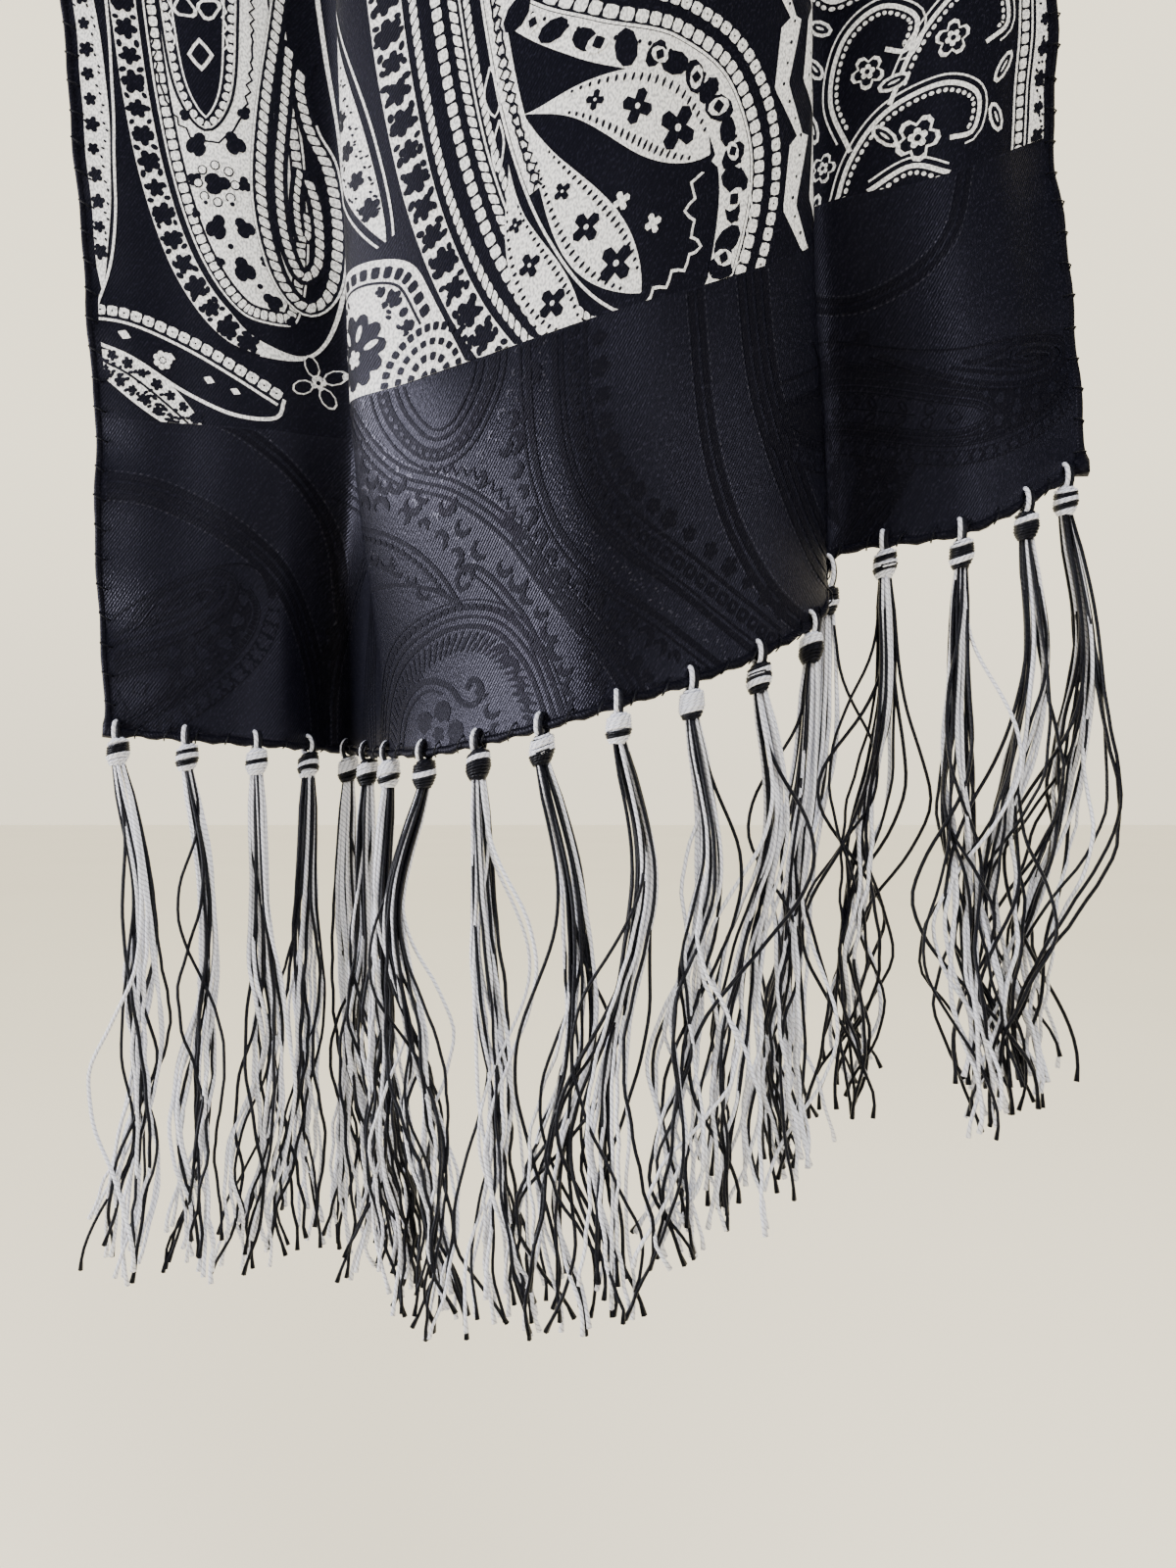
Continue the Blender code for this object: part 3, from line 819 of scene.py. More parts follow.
def petal(points, wide, flowers):
    """A petal edged with a fringe of short dark dashes, with a few dark crosses down its middle."""
    path, half = Path(points), leaf_width(wide, fullest=0.66)
    blade(path, half)
    along = spots(path, 1.8, 0.2, 0.93)
    for side in (1, -1):
        reach = side * half(along / path.length)
        foot, top = path.at(along, reach * 0.88), path.at(along, reach * 0.62)
        length = np.linalg.norm(foot - top, axis=1)[:, None] / 2
        stamp((foot + top) / 2, oval(0.36), 1.0, 2, np.arctan2(*(foot - top).T[::-1]), length)
    places, sizes = numbers(flowers).T
    places = places * path.length
    stamp(path.at(places), CROSS, sizes, 2, path.turn(places))
    stamp(path.at(places), DISC, sizes * 0.16, 3)


def curls(path, off, size, pitch, level=1, start=0.0, end=1.0, side=1):
    """Small curled leaves along a path. Each follows an arc that closes in, fullest before its middle."""
    along = spots(path, pitch, start, end)
    closing = np.linspace(1.0, 0.4, 6)
    for number, (place, turn) in enumerate(zip(path.at(along, off), path.turn(along))):
        angle = turn + side * np.linspace(-0.4, 3.8, 6) + 0.5 * math.sin(2.4 * number)
        grown = size * (1 + 0.2 * math.sin(1.7 * number)) * closing
        blade(Path(place + grown[:, None] * on_circle(angle)), leaf_width(size * 0.34, 0.4), level)


def rosette(place, size):
    """A small flower: a ring of round petals round a dot."""
    stamp(np.array(place) + size * 0.68 * on_circle(np.arange(7) * 2 * math.pi / 7), DISC, size * 0.34, 1)
    stamp(place, DISC, size * 0.28, 1)


def sprig(points, leaves, size):
    """A thin curved stem with small leaves on both sides and a bud at its end."""
    path = Path(points)
    line(path, 0.0, 0.5)
    along = spots(path, path.length / leaves, 0.15, 0.95)
    for side in (1, -1):
        turn = path.turn(along) + side * 0.7
        stamp(path.at(along, side * size * 0.85), oval(0.42), size * 0.8, 1, turn)
    stamp(path.at(path.length), DISC, size * 0.55, 1)


# %% [markdown]
# ## The design
# The design repeats every third of a metre. Places are millimetres on the cut: across from the left edge,
# and up from the front hem. Its lowest part shows in the picture and is cut off by the plain end band.
# Each line of code below is one row of the ornament, drawn at a distance beside its path.


# %% Paisley with a crook, at the left
def crook_paisley():
    """A tall paisley: a flowered rim, a dark eye with a leafy stem in it, and a beaded crook below."""
    rim = Path("""46,322 30,300 19,262 14,222 13,182 16,146 23,119 35,102 50,98.5 60,104 65,122 66,150 64,178
        63,208 64,240 64,272 58,304 46,322""")

    def taper(share):
        """From nothing at the tip to full width, and back to nothing past the middle."""
        return eased(share / 0.1) * eased((0.53 - share) / 0.06)

    ribbon(rim, 0, lambda s: 0.3 + 6.2 * taper(s), 1, 0.02, 0.53)
    blooms(rim, lambda s: 3.2 * taper(s), 2.8, 6.6, 2, 0.07, 0.5)
    for side in (1, 5.4):
        blooms(rim, lambda s: side * taper(s), 0.95, 3.3, 2, 0.08, 0.5, oval(0.7))
    line(rim, 0, 0.9, 1, 0.5, 1)
    line(rim, 8.4, 0.5, 1, 0.03, 0.97)
    beads(rim, 10.2, 2.4, 2.9, 1, 0.03, 0.97)
    inside(rim, 12, 1, 0.05, 0.5)
    eye = Path("""34,266 27,238 25.8,206 26.2,180 28.5,163 34.5,154.5 40.5,162 43.2,180 44.5,206 42.5,238
        34,266""")
    inside(eye, 0, 2)
    line(eye, -0.8, 0.7, 2)
    scallops(eye, -3.2, -1.2, 2.6, 0.5, 2, 0.06, 0.94)
    beads(eye, 0.6, 1.9, 2.5, 3, 0.06, 0.94, DISC, 0.42)
    line(eye, 2.4, 0.45, 3, 0.08, 0.92)
    trefoil, diamond = round_shape(15, 3, 0.4) * [1, 0.8], DIAMOND * [0.8, 1]
    for side in (-1, 1):
        stack((34.6 + side * 3, 184), 3, side * 0.55, (trefoil, 3.5), (trefoil, 2.5))
    stack((34.6, 172.5), 3, 0, (diamond, 4.2), (diamond, 2.9))
    for side in (-1, 1):
        zigzag(Path(numbers("6.5,174 6.8,206 5.6,236") * [side, 1] + [34.6, 0]), 0, 0.8, 4, 0.5, 3)
    stem = Path("34.6,190 34.4,214 34.2,250")
    line(stem, 0, 0.6, 3)
    for place, size in numbers("6,3.4 20,3.6 34,3.2 46,2.4"):
        for side in (1, -1):
            leaves = (oval(0.5), size), (oval(0.36), size * 0.6)
            stack(stem.at(place, side * size * 0.95), 3, stem.turn(place) + side * 0.9, *leaves)
    crook = Path("""60,214 54,186 48.5,160 46.3,138 49,120 55.5,112.5 61.5,117 64,132 63,148 59.5,158 58,169
        60,176""")
    coil = Path("56.5,180 53.5,162 51,145 51.3,130 54.8,120.5 59.3,124 60,137 58,147")
    curl = Path("56.6,148 55,139 55.4,130.5 57.3,131 57.3,137")
    for chain, wide, pitch in ((crook, 2.3, 2.7), (coil, 2.1, 2.5), (curl, 1.6, 2.1)):
        line(chain, 0, wide + 2.4, 2)
        beads(chain, 0, wide, pitch, 3, 0.02, 0.98, slant=0.5)
    line(crook, -2, 0.5, 3, 0, 0.9)
    blobs = """31.8,150,3.4,1.1 41.2,151,3.2,2 36,140.5,3.6,0.1 35.2,129.5,3.5,1.2 42,130,2.9,2.2
        41.2,119.5,3.4,1.9 47.4,112.3,2.7,2.5 29.6,157.5,1.9,0.3 43.9,159,1.9,0.9 30.4,141.5,2.1,0.5
        42.7,141,2.1,1.6 46.6,122.5,1.9,0.2 35.4,121,1.6,2.4 51.6,108.2,1.7,1.2 30.2,133,1.5,1.8"""
    for *place, size, turn in numbers(blobs):
        stamp(place, round_shape(18, 3, 0.35) * [1, 0.8], size, 2, turn)
    for *place, size in numbers("38.4,125,1.5 44.6,115.8,1.4 33,135.6,1.1 39.6,135.6,1.2"):
        stack(place, 3, 0, (DISC, size), (DISC, size * 0.5))
    ring = [36, 140.5] + 4.6 * on_circle(np.arange(8) * math.pi / 4)
    stack(ring, 2, 0, (DISC, 1.3), (DISC, 0.95))


# %% Leaf with a beaded back, low at the left
def beaded_leaf():
    """A beaded back, diamonds and a small flower under it, a flowered blade, and a bloom at the tip."""
    back = Path("-4,107 10,106.5 24,102 38,94.5 48,88.5")
    beads(back, 0, 2.7, 3.2, 1)
    beads(back, 0, 0.5, 3.2, 2, outline=DISC, fill=0.08)
    line(back, -2.4, 0.7)
    line(Path("-4,100 10,96 24,88 36,83 46,83 48.5,88"), 0, 0.9)
    lens = Path("2,103 16,99 30,91.5 42,87")
    stamp(lens.at([8, 20, 31, 38]), DIAMOND, [1.2, 1, 1, 0.9], 1, -0.4, 1.5)
    rosette((19, 95.5), 2.4)
    under, half = Path("-2,96 10,91 22,82 30,74"), leaf_width(5.2, 0.45)
    blade(under, half)
    line(under, 0.2, 0.6, 2, 0.06, 0.97)
    for side in (1, -1):
        blooms(under, side * 2.6, 1.5, 3.9, 2, 0.14, 0.86)
    speckle(under, lambda s: -0.9 * half(s), lambda s: 0.9 * half(s), 2, 2, 0.1, 0.9, size=0.45)
    flower = (57.5, 93.5)
    for angle in (0.4, 1.9, 3.5, 5.2):
        stack(flower + 4.3 * on_circle(angle), 1, angle, (oval(0.62), 3), (oval(0.62), 2.45))
    stack(flower, 1, 0, (BLOOM, 1.9), (DISC, 0.6))


# %% Fan paisley, in the middle
def fan_paisley():
    """A broad paisley: beaded rims, a flowered field, three petals, an arch, and a scalloped throat."""
    rim = Path("""166,300 149,280 139,250 135,215 136,180 139.5,148 145,120 154,96 168,76 190,64 210,70
        220,88 222,108 214,128 198,141 178,149 160,162 154,186 158,214 168,244 174,274 166,300""")
    beads(rim, 1.6, 2, 2.7, 1, 0.02, 0.45, slant=0.8)
    beads(rim, -2.3, 2.5, 3.1, 1, 0.03, 0.45)
    line(rim, 3.4, 0.5, 1, 0.02, 0.45)
    beads(rim, 5, 1.6, 2.3, 1, 0.03, 0.45, slant=-0.8)
    beads(rim, 1.5, 2.7, 3.3, 1, 0.45, 0.97)
    beads(rim, 1.5, 0.45, 3.3, 2, 0.45, 0.97, DISC, 0.07)
    beads(rim, 6.6, 2.9, 3.6, 1, 0.45, 0.94)
    line(rim, 8.7, 0.6, 1, 0.04, 0.95)

    def field(share):
        """The far edge of the flowered field: a sine that bulges over a third of the rim."""
        return 9.2 + 9.6 * np.sin(math.pi * np.clip((share - 0.47) / 0.31, 0, 1)) ** 0.7

    def middle(share):
        """Halfway across the field."""
        return (9.2 + field(share)) / 2

    ribbon(rim, 9.2, field, 1, 0.47, 0.78)
    tall = DISC * [0.8, 1.2]
    for size, pitch, level, outline in ((3.1, 8, 2, tall), (2.2, 16, 3, tall), (1.4, 16, 4, DIAMOND)):
        blooms(rim, middle, size, pitch, level, 0.52, 0.74, outline)
    blooms(rim, lambda s: middle(s) * 0.88, 0.5, 2.7, 2, 0.52, 0.74, DISC)
    ribbon(rim, 9.2, 13.6, 1, 0.16, 0.365)
    scallops(rim, 9.9, 1.3, 2.9, 0.45, 2, 0.16, 0.365)
    zigzag(rim, 12.2, 0.7, 2.6, 0.5, 2, 0.16, 0.365)
    blooms(rim, 11.4, 0.6, 2.9, 2, 0.16, 0.365, DISC)
    petal("157,127 172,125 188,118 202,107", 8.8, "0.33,2.2 0.54,3.9 0.78,5.2")
    petal("157,127 163,113 172,97 183,82", 6.8, "0.4,2.1 0.6,3.5 0.82,4.3")
    petal("153,118 154.5,104 160,90 169,77", 5.6, "0.3,1.8 0.52,2.8 0.76,3.5")
    stamp(numbers("179,102 186.5,95.5"), CROSS, [2.1, 2.2], 1, 0.3)
    zigzag(Path("199,104 196,96 198,88 192,84 184,80"), 0, 1.2, 5.5, 0.8)
    arch = Path("203,106 209,100 210,91 206,82")
    line(arch, 0, 1.6)
    scallops(arch, 2.2, 1.2, 2.4, 0.5)
    for shift in (0, 3.6):
        line(Path(numbers("149,140 147.4,134 150,129 151.6,134 149,140") + [shift, 0]), 0, 0.5)
    line(Path("151,128 149,122 150.5,117 152,123 151,128"), 0, 0.5)
    throat = Path("160,286 150,258 146,224 147,190 149,165")
    blooms(throat, 0, 2.3, 9, 1, 0.1, 0.98)
    blooms(throat, 0, 1, 9, 2, 0.1, 0.98, DISC)
    for side in (1, -1):
        scallops(throat, side * 4.2, side * 1.4, 3.2, 0.5, 1, 0.12, 0.98)


# %% Ribbon, leaves, flower and bolts beside it
def flowered_ribbon():
    """A tapering ribbon with dark flowers and small ovals on it, and beads beside it."""
    path = Path("128,318 121,284 119,246 120,208 122.5,172 126,142 132,114 142,90 156,70")
    blade(path, lambda s: 0.3 + 3.5 * eased(s / 0.12))
    blooms(path, 0, 3.1, 7, 2, 0.1, 1)
    for side in (2.6, -2.6):
        blooms(path, side, 1.1, 3.5, 2, 0.12, 1, oval(0.7))
    beads(path, 6.4, 2, 2.6, 1, 0.08, 1, slant=-0.9)


def middle_leaves():
    """Three leaves between the paisleys."""
    leaf("101,180 106,156 113,134 122,112", 6.2, 0.5, 2.5, 1.8)
    leaf("84,204 78,178 78,150 88,120", 6.6, 0.55, 2.2, 1.8)
    leaf("96,108 88,98 78,90 66,84", 4.6, 0.5, 1.6, 1.4)


def fan_flower():
    """A pale fan with a dark scalloped flower on it, and dashed arcs beside it."""
    fan = Path("104,74 99.5,88 101,100 108,107.5 118,109 128,105 134,94 141,80 146,70 124,66 104,74")
    inside(fan, 0, 1)
    beads(fan, -2.8, 2.7, 3.4, 2, 0.1, 0.5, fill=0.36)
    line(fan, -5, 0.6, 2, 0.1, 0.5)
    beads(fan, -7, 2.2, 2.9, 2, 0.12, 0.27, DISC, 0.34)
    beads(fan, -7, 2.4, 3.1, 2, 0.36, 0.5, DISC, 0.34)
    speckle(fan, -10.5, -8.4, 2.6, 2, 0.38, 0.5, size=0.5)
    stamp((113, 90), round_shape(44, 11, 0.2), 8.6, 2)
    stamp((113, 88.5), BLOOM, 2.2, 3, 0.5)
    for angle in (0.3, 1.2, 2, 2.9):
        stamp([113, 89] + 5.2 * on_circle(angle), oval(0.4), 1.9, 3, angle)
    stamp(numbers("123.5,99 126.5,92 120.5,101.5"), BLOOM, [2, 1.7, 1.3], 2, 0.6)
    half_circle = on_circle(np.linspace(0.05, math.pi - 0.05, 9))
    for radius, thick in ((1.6, 1.8), (4.8, 1.8), (7.9, 1.6), (11, 1.9)):
        beads(Path([131.5, 79] + radius * half_circle), 0, thick, 2.3, 2, fill=0.36)


def bolts():
    """Two jagged bolts side by side. Each jag starts wide and ends sharp."""
    for shift, width in ((0, 4.4), (9.5, 4)):
        path = Path(numbers("221,158 224,140 226,118 227.5,98 229,78") + [shift, 0])
        wave = jumping(path, 27)

        def edge(share, side=0):
            """The jag's own line, or with side an edge of it."""
            thick = width * (0.25 + 0.75 * ((1 - share * path.length / 27) % 1))
            return 2.6 * wave(share) + side * thick

        ribbon(path, lambda s: edge(s, -1), lambda s: edge(s, 0.6), 1)
        blooms(path, edge, 0.4, 4.2, 2, 0.05, 0.95, DISC)


# %% Line flowers and the edge leaf, at the right
def line_flowers():
    """Double lines that curl, with flowers and leaves among them."""
    for points in ("257,74 262,88 271,98 283,101 292,96 291,88 285,88",
                   "262,90 257,103 260,116 269,122 277,118 275,111 270,112",
                   "271,99 277,112 287,121 298,119 300,110 294,107",
                   "266,80 276,84 285,80", "251,132 258,126 268,129 276,138"):
        path = Path(points)
        line(path, 0, 1.1)
        line(path, 1.9, 0.45, 1, 0.06, 0.94)
        beads(path, -1.6, 1, 1.9, 1, 0.08, 0.94, DISC, 0.36)
    flowers = "277.5,90,5.2 266,107.5,3.9 285.5,110.5,4.2 255,88,3.4 288,131,4.4 264,136,3.6"
    for x, y, size in numbers(flowers):
        stack((x, y), 1, x, (BLOOM, size * 1.05), (BLOOM, size * 0.82))
        stamp((x, y), BLOOM, size * 0.46, 3, x + 0.6)
        stamp((x, y), DISC, size * 0.16, 4)
    leaves = """252.5,79,1.2 252,98,1.9 252.5,112,2.3 268,76,0.4 299,100,0.9 280,126,2.6 272,104,0.3
        297,89,1.9 286,77,0.6 254,121,2.6 296,128,1 270,92,2.4"""
    for *place, turn in numbers(leaves):
        stack(place, 1, turn, (oval(0.46), 3.9), (oval(0.36), 2.9), (oval(0.2), 1.5))


def edge_leaf():
    """A long leaf at the right edge: beads and lines along its side, flowers and specks on it."""
    path = Path("322,196 312,172 306,144 304,112 302,78")
    beads(path, 2, 2.4, 2.8, 1, 0.25, 1)
    line(path, 0, 0.7, 1, 0.2, 1)
    line(path, 4.2, 0.6, 1, 0.25, 1)
    ribbon(path, 5.4, 12.5, 1, 0.3, 1)
    blooms(path, 8.2, 1.9, 6.8, 2, 0.33, 1)
    speckle(path, 6, 11.5, 2.4, 2, 0.32, 1)


# %% Leaf along the left edge
def side_leaf():
    """A thin leaf with a line beside it."""
    leaf("6,206 5.5,178 5.5,146 4.5,112", 4.6, 0.5, 1.9)
    line(Path("12.5,214 12,180 11,150 8.5,124 3,108"), 0, 0.7)


# %% Higher up
def upper_design():
    """The part of the repeat that hangs above the picture."""
    rim = Path("""236,168 252,178 270,196 284,222 291,254 290,286 279,312 258,326 232,322 214,304 208,278
        212,250 224,228 238,208 242,188 236,168""")
    ribbon(rim, 0, 6, 1, 0.05, 0.95)
    blooms(rim, 3, 2.1, 7.6, 2, 0.08, 0.92)
    beads(rim, 5.5, 1, 2.5, 2, 0.08, 0.92, DISC, 0.3)
    beads(rim, 9.4, 2.4, 2.9, 1, 0.08, 0.92)
    line(rim, 11.6, 0.7, 1, 0.09, 0.91)
    inside(rim, 16, 1, 0.24, 0.5)
    core = Path("262,232 262,254 256,276 248,292")
    stack(core.at(spots(core, 15)), 2, 0.4, (BLOOM, [3.2, 4.2, 4.8, 4]), (BLOOM, [1.3, 1.8, 2, 1.6]))
    for side in (1, -1):
        blooms(core, side * 9, 1.5, 7.5, 2, 0.05, 0.95, DIAMOND)
    scallops(rim, 14.4, 1.2, 3, 0.5, 1, 0.12, 0.88)
    leaf("300,222 304,256 303,290 298,322", 6, 0.5, 2.2, 1.8)
    leaf("104,214 98,240 97,270 104,306", 7, 0.5, 2.4, 2)
    leaf("186,182 194,206 196,234 188,262", 7.4, 0.5, 2.4, 2)
    leaf("84,226 76,250 74,282 80,312", 5.2, 0.5, 1.9, 1.6)
    sprig("206,166 214,182 216,202 208,222", 5, 4)
    sprig("6,226 8,256 6,286 12,314", 7, 4)
    sprig("252,140 262,152 276,160 292,158", 5, 4.2)
    rosettes = """92,330,5 150,322,5.6 196,300,5 196,330,4.2 40,344,5.2 238,346,4.6 300,346,4.6
        120,348,4.4 70,360,5.2 12,336,4"""
    for *place, size in numbers(rosettes):
        rosette(place, size)
        stamp(numbers("9,5 -8,6 1,-9") + place, oval(0.5), 3, 1, [0.5, 2.5, 1.5])
    low = Path("20,388 60,380 100,372 140,366 180,362 220,368 262,376 304,386")
    blooms(low, 0, 4.6, 22, 1)
    blooms(low, 0, 2, 22, 2)
    scallops(low, -7, -2.4, 8, 0.6)
    beads(low, -10.8, 2, 2.9, 1)


# %% The woven design
def woven_band(points, width, count=1, gap=0.9):
    """Bands of matt weave side by side to the left of a line, the outer ones edged with shiny floats whose
    lighter colour is a painted glint.
    """
    path = Path(points)
    for number in range(count):
        low = number * (width + gap)
        ribbon(path, low, low + width, 1)
    for off in (-0.5, count * (width + gap) - gap + 0.5):
        beads(path, off, 0.42, 1.5, 0.5, outline=GLINT, fill=0.36)


def woven_bands():
    """Curved bands, a row of trefoils, and a sprig."""
    woven_band("236,-6 214,16 202,44 199,84", 1.6, 2)
    woven_band("256,-4 234,20 220,52 217,84", 1.4, 4)
    woven_band("64,-4 66,24 78,50 98,66 104,84", 1.2, 3)
    woven_band("-6,60 18,58 42,44 54,20 56,-6", 1.6, 3)
    woven_band("20,84 40,76 58,58 64,34", 1.2, 2)
    woven_band("236,84 244,62 262,54 284,64 292,84", 1.2, 2)
    blooms(Path("92,84 88,66 74,50 62,30 60,-6"), 0, 2.3, 5.8, 1, outline=TREFOIL)
    sprig("232,60 240,48 250,46 262,48", 4, 3)


def woven_middle():
    """The part that the light picks out: an eye above, long sweeping lines, and a paisley at the hem."""
    eye = Path("118,92 119.5,76 126,65.5 134,62 142.5,65.5 149,76 150,92")
    ribbon(eye, 0, 2.6, 1)
    beads(eye, 1.3, 0.9, 2.3, 2, outline=DISC, fill=0.3)
    for off, thick in ((-1.5, 0.5), (4.4, 0.8), (6.2, 0.5)):
        line(eye, off, thick)
    # Here and below, speckles and curls at level 0.5 are shiny floats whose lighter colour is a painted
    # glint.
    speckle(eye, -9, -5.4, 2.6, 0.5, size=0.24)
    sweep = Path("157,92 156.5,72 158,54 163,40 172,28 186,15 207,-6")
    for off, thick in ((0, 1.3), (-1.9, 0.5), (6.4, 1.3), (8, 0.5), (13.4, 0.8)):
        line(sweep, off, thick)
    beads(sweep, 10.7, 2.8, 3.6, 1)
    beads(sweep, 10.7, 1.1, 3.6, 2, outline=DISC, fill=0.16)
    blooms(sweep, 16.6, 2, 6.4, 1)
    speckle(sweep, 1.2, 5.6, 3.2, 0.5, size=0.22)
    woven_band("108,76 120,61 136,53 149,42 159,28 172,10 180,-6", 0.7, 3, 1.1)
    fern = Path("128,61 143,56 154,43 162,30 173,17 192,-6")
    zigzag(fern, 0.6, 0.9, 2.8, 0.6, 1, 0, 0.75)
    blooms(fern, -1.6, 2, 4.4, 1, 0.28, 1, TREFOIL)
    hook = Path("139.5,35.6 137,34.6 136,37 138.6,39.4 143,37.4 149,31 156,20 164,-4")
    line(hook, 0, 1)
    line(hook, -1.9, 0.5, 1, 0.2, 1)
    curls(hook, 3.8, 2.5, 4.4, 1, 0.26, 1, -1)
    curls(hook, 8.4, 2.4, 4.8, 1, 0.36, 1)
    tip = Path("108,53 120,49 130,41 137,31")
    line(tip, 0, 0.9)
    beads(tip, -2, 1.3, 1.9, 1, 0, 0.85, DISC)
    line(Path("108,39 120,39 130,36 137,31"), 0, 0.9)
    speckle(tip, -9, -4, 2.6, 0.5, 0, 0.6, size=0.24)
    for path, *sizes in (
        (tip, 5, 2.3, 5.2, 1, 0, 0.95), (tip, 11, 2.3, 5.6, 1, 0.05, 0.9, -1),
        (tip, 8, 1.6, 5.4, 0.5, 0, 0.9), (tip, -5.6, 2, 5, 1, 0.1, 0.75, -1),
        (sweep, -5, 2.3, 4.8, 1, 0.2, 0.95), (eye, -8.6, 2.5, 5.2, 1, 0.12, 0.88, -1),
        (eye, -4.6, 1.3, 3.6, 0.5, 0.1, 0.9),
    ):
        curls(path, *sizes)
    crease = Path("97,-6 95.5,12 97,30 93,48 84,62 66,74")
    along, wave = np.linspace(0, 1, 15), 1.9 * np.arange(15)
    for number, off in enumerate((0, 2.1, 4, 6.1, 8.2, 10.4)):
        line(Path(crease.at(crease.length * along, off + 0.5 * np.sin(wave + number))), 0, 0.7)
    arch = Path("100,-6 104,9 110,19 120,27 133,30.5 146,27.5 155,18 160,6 162,-6")
    beads(arch, 0.7, 1.5, 2, 1)
    for off, thick in ((-1.3, 0.7), (-3.3, 1.1), (2.2, 0.4)):
        line(arch, off, thick)
    beads(arch, -6.6, 4.6, 2.4, 1, 0.04, 0.96, DISC, 0.26, 0.8)
    curl = Path("110,-6 112,6 117,13.5 124,17 131,15 135,10.5 139,9.5 141,12.5 138.6,15.2 136.6,13.2")
    line(curl, 0, 1.4)
    line(curl, -2.2, 0.6, 1, 0, 0.62)
    stamp((127, 4.5), round_shape(30, 5, 0.5), 8, 1)
    stack((127, 4.5), 2, 0.6, (BLOOM, 4.2), (BLOOM, 2))
    curls(Path("145,21 151,9 152,-4"), 0, 2.4, 4.8)
    curls(Path("140,15 144.5,4 144,-5"), 0, 2.2, 4.8, side=-1)
    curls(Path("107,20 113,24 121,27"), -9.5, 1.8, 4.4)


# %% Draw one repeat
def drawn(*motifs):
    """Draw motifs on an empty sheet and give back their areas."""
    ink.clear()
    for motif in motifs:
        motif()
    return list(ink)


def placed(areas, scale, turn, middle, place):
    """Areas scaled and turned round their middle, which goes to a place."""
    cos, sin = scale * math.cos(math.radians(turn)), scale * math.sin(math.radians(turn))
    spin = np.array([(cos, sin), (-sin, cos)])
    return [((points - middle) @ spin + place, faces, level) for points, faces, level in areas]


printed = drawn(
    side_leaf, crook_paisley, beaded_leaf, middle_leaves, fan_flower, flowered_ribbon, fan_paisley, bolts,
    line_flowers, edge_leaf, upper_design
)
fan, crook = drawn(fan_paisley), drawn(crook_paisley)
woven = [
    *drawn(woven_bands, woven_middle), *placed(fan, 0.45, 120, (188, 100), (257, 24)),
    *placed(crook, 0.60, 120, (42, 140), (24, 26)), *placed(crook, 0.50, 75, (42, 140), (297, 26)),
]
print("areas of ink in one repeat:", len(printed), "- of weave:", len(woven))

# %% [markdown]
# ## The print on the cloth
# Four repeats fill the strip between the two plain end bands. Points beyond a border are moved to it,
# and the cells that this closes are dropped, so every border is straight.

# %% Lay the print on the cloth
REPEAT = 335.0
REPEATS = 4
SIDE_MARGIN = 3.4
END_MARGIN = 1.6
BAND_GAP = 0.5
INK_BASE = 0.00006
INK_STEP = 0.00008
SMALLEST = 0.002
FAR = LENGTH / MM
PRINT = [pale_print, printed_dark]
# The last weave silk is the floats' silk, with a painted glint in its lighter colour.
WEAVE = [woven_matt, ground_silk, woven_float_painted_glint]


def laid(points, faces, level, window):
    """One area of ink on the cloth: its faces look out of the cloth, and empty ones are dropped."""
    flat = np.clip(points, (SIDE_MARGIN, window[0]), (WIDTH / MM - SIDE_MARGIN, window[1]))
    shape = Shape(on_cloth(*(flat * MM).T, CLOTH / 2 + INK_BASE + INK_STEP * level))
    for group in faces:
        corners = flat[group]
        first, second = corners[:, 2] - corners[:, 0], corners[:, -1] - corners[:, 1]
        area = first[:, 0] * second[:, 1] - first[:, 1] * second[:, 0]
        group = np.where(area[:, None] < 0, group[:, ::-1], group)[np.abs(area) > SMALLEST]
        shape.add(group, flat[group] * MM, PAINTS[level])
    return shape


def lay(name, areas, flip, shift, window, materials):
    """A drawn design as one piece, moved along the cut. A flip of -1 mirrors it end for end first."""
    shapes = [laid(points * [1, flip] + [0, shift], faces, level, window) for points, faces, level in areas]
    return make_piece(name, joined(shapes), materials)


prints = [
    *(lay(f"print_{k + 1}", printed, 1, k * REPEAT, (BORDER, FAR - BORDER), PRINT) for k in range(REPEATS)),
    lay("weave_front", woven, 1, 0.0, (END_MARGIN, BORDER - BAND_GAP), WEAVE),
    lay("weave_back", woven, -1, FAR, (FAR - BORDER + BAND_GAP, FAR - END_MARGIN), WEAVE),
]

# %% [markdown]
# ## The rolled hem
# All four edges are rolled in by hand and held with small slanting stitches, about 7 mm apart. Each
# stitch pulls the roll in a little, so the edge is slightly wavy.

# %% The rolled hem
ROLL_RADIUS = 0.00105
ROLL_INSET = 0.0007
ROLL_ROUND = 0.006
STITCH_PITCH = 0.0074
HEM_STEP = 0.0020
HEM_PULL = 0.00026
HEM_WOBBLE = 0.00010
CORNER_REACH = 0.0028


def round_the_cut(step):
    """Places along all four edges, a fixed inset in from them, and the direction out of the cloth there."""
    w, h, i = WIDTH, LENGTH, ROLL_INSET
    corners = np.array([(i, i), (w - i, i), (w - i, h - i), (i, h - i), (i, i)])
    at = length_along(corners)
    s = np.linspace(0, at[-1], int(at[-1] / step), endpoint=False)
    side = np.searchsorted(at, s, side="right") - 1
    return s, point_at(s, at, corners), np.array([(0, -1), (1, 0), (0, 1), (-1, 0)])[side]


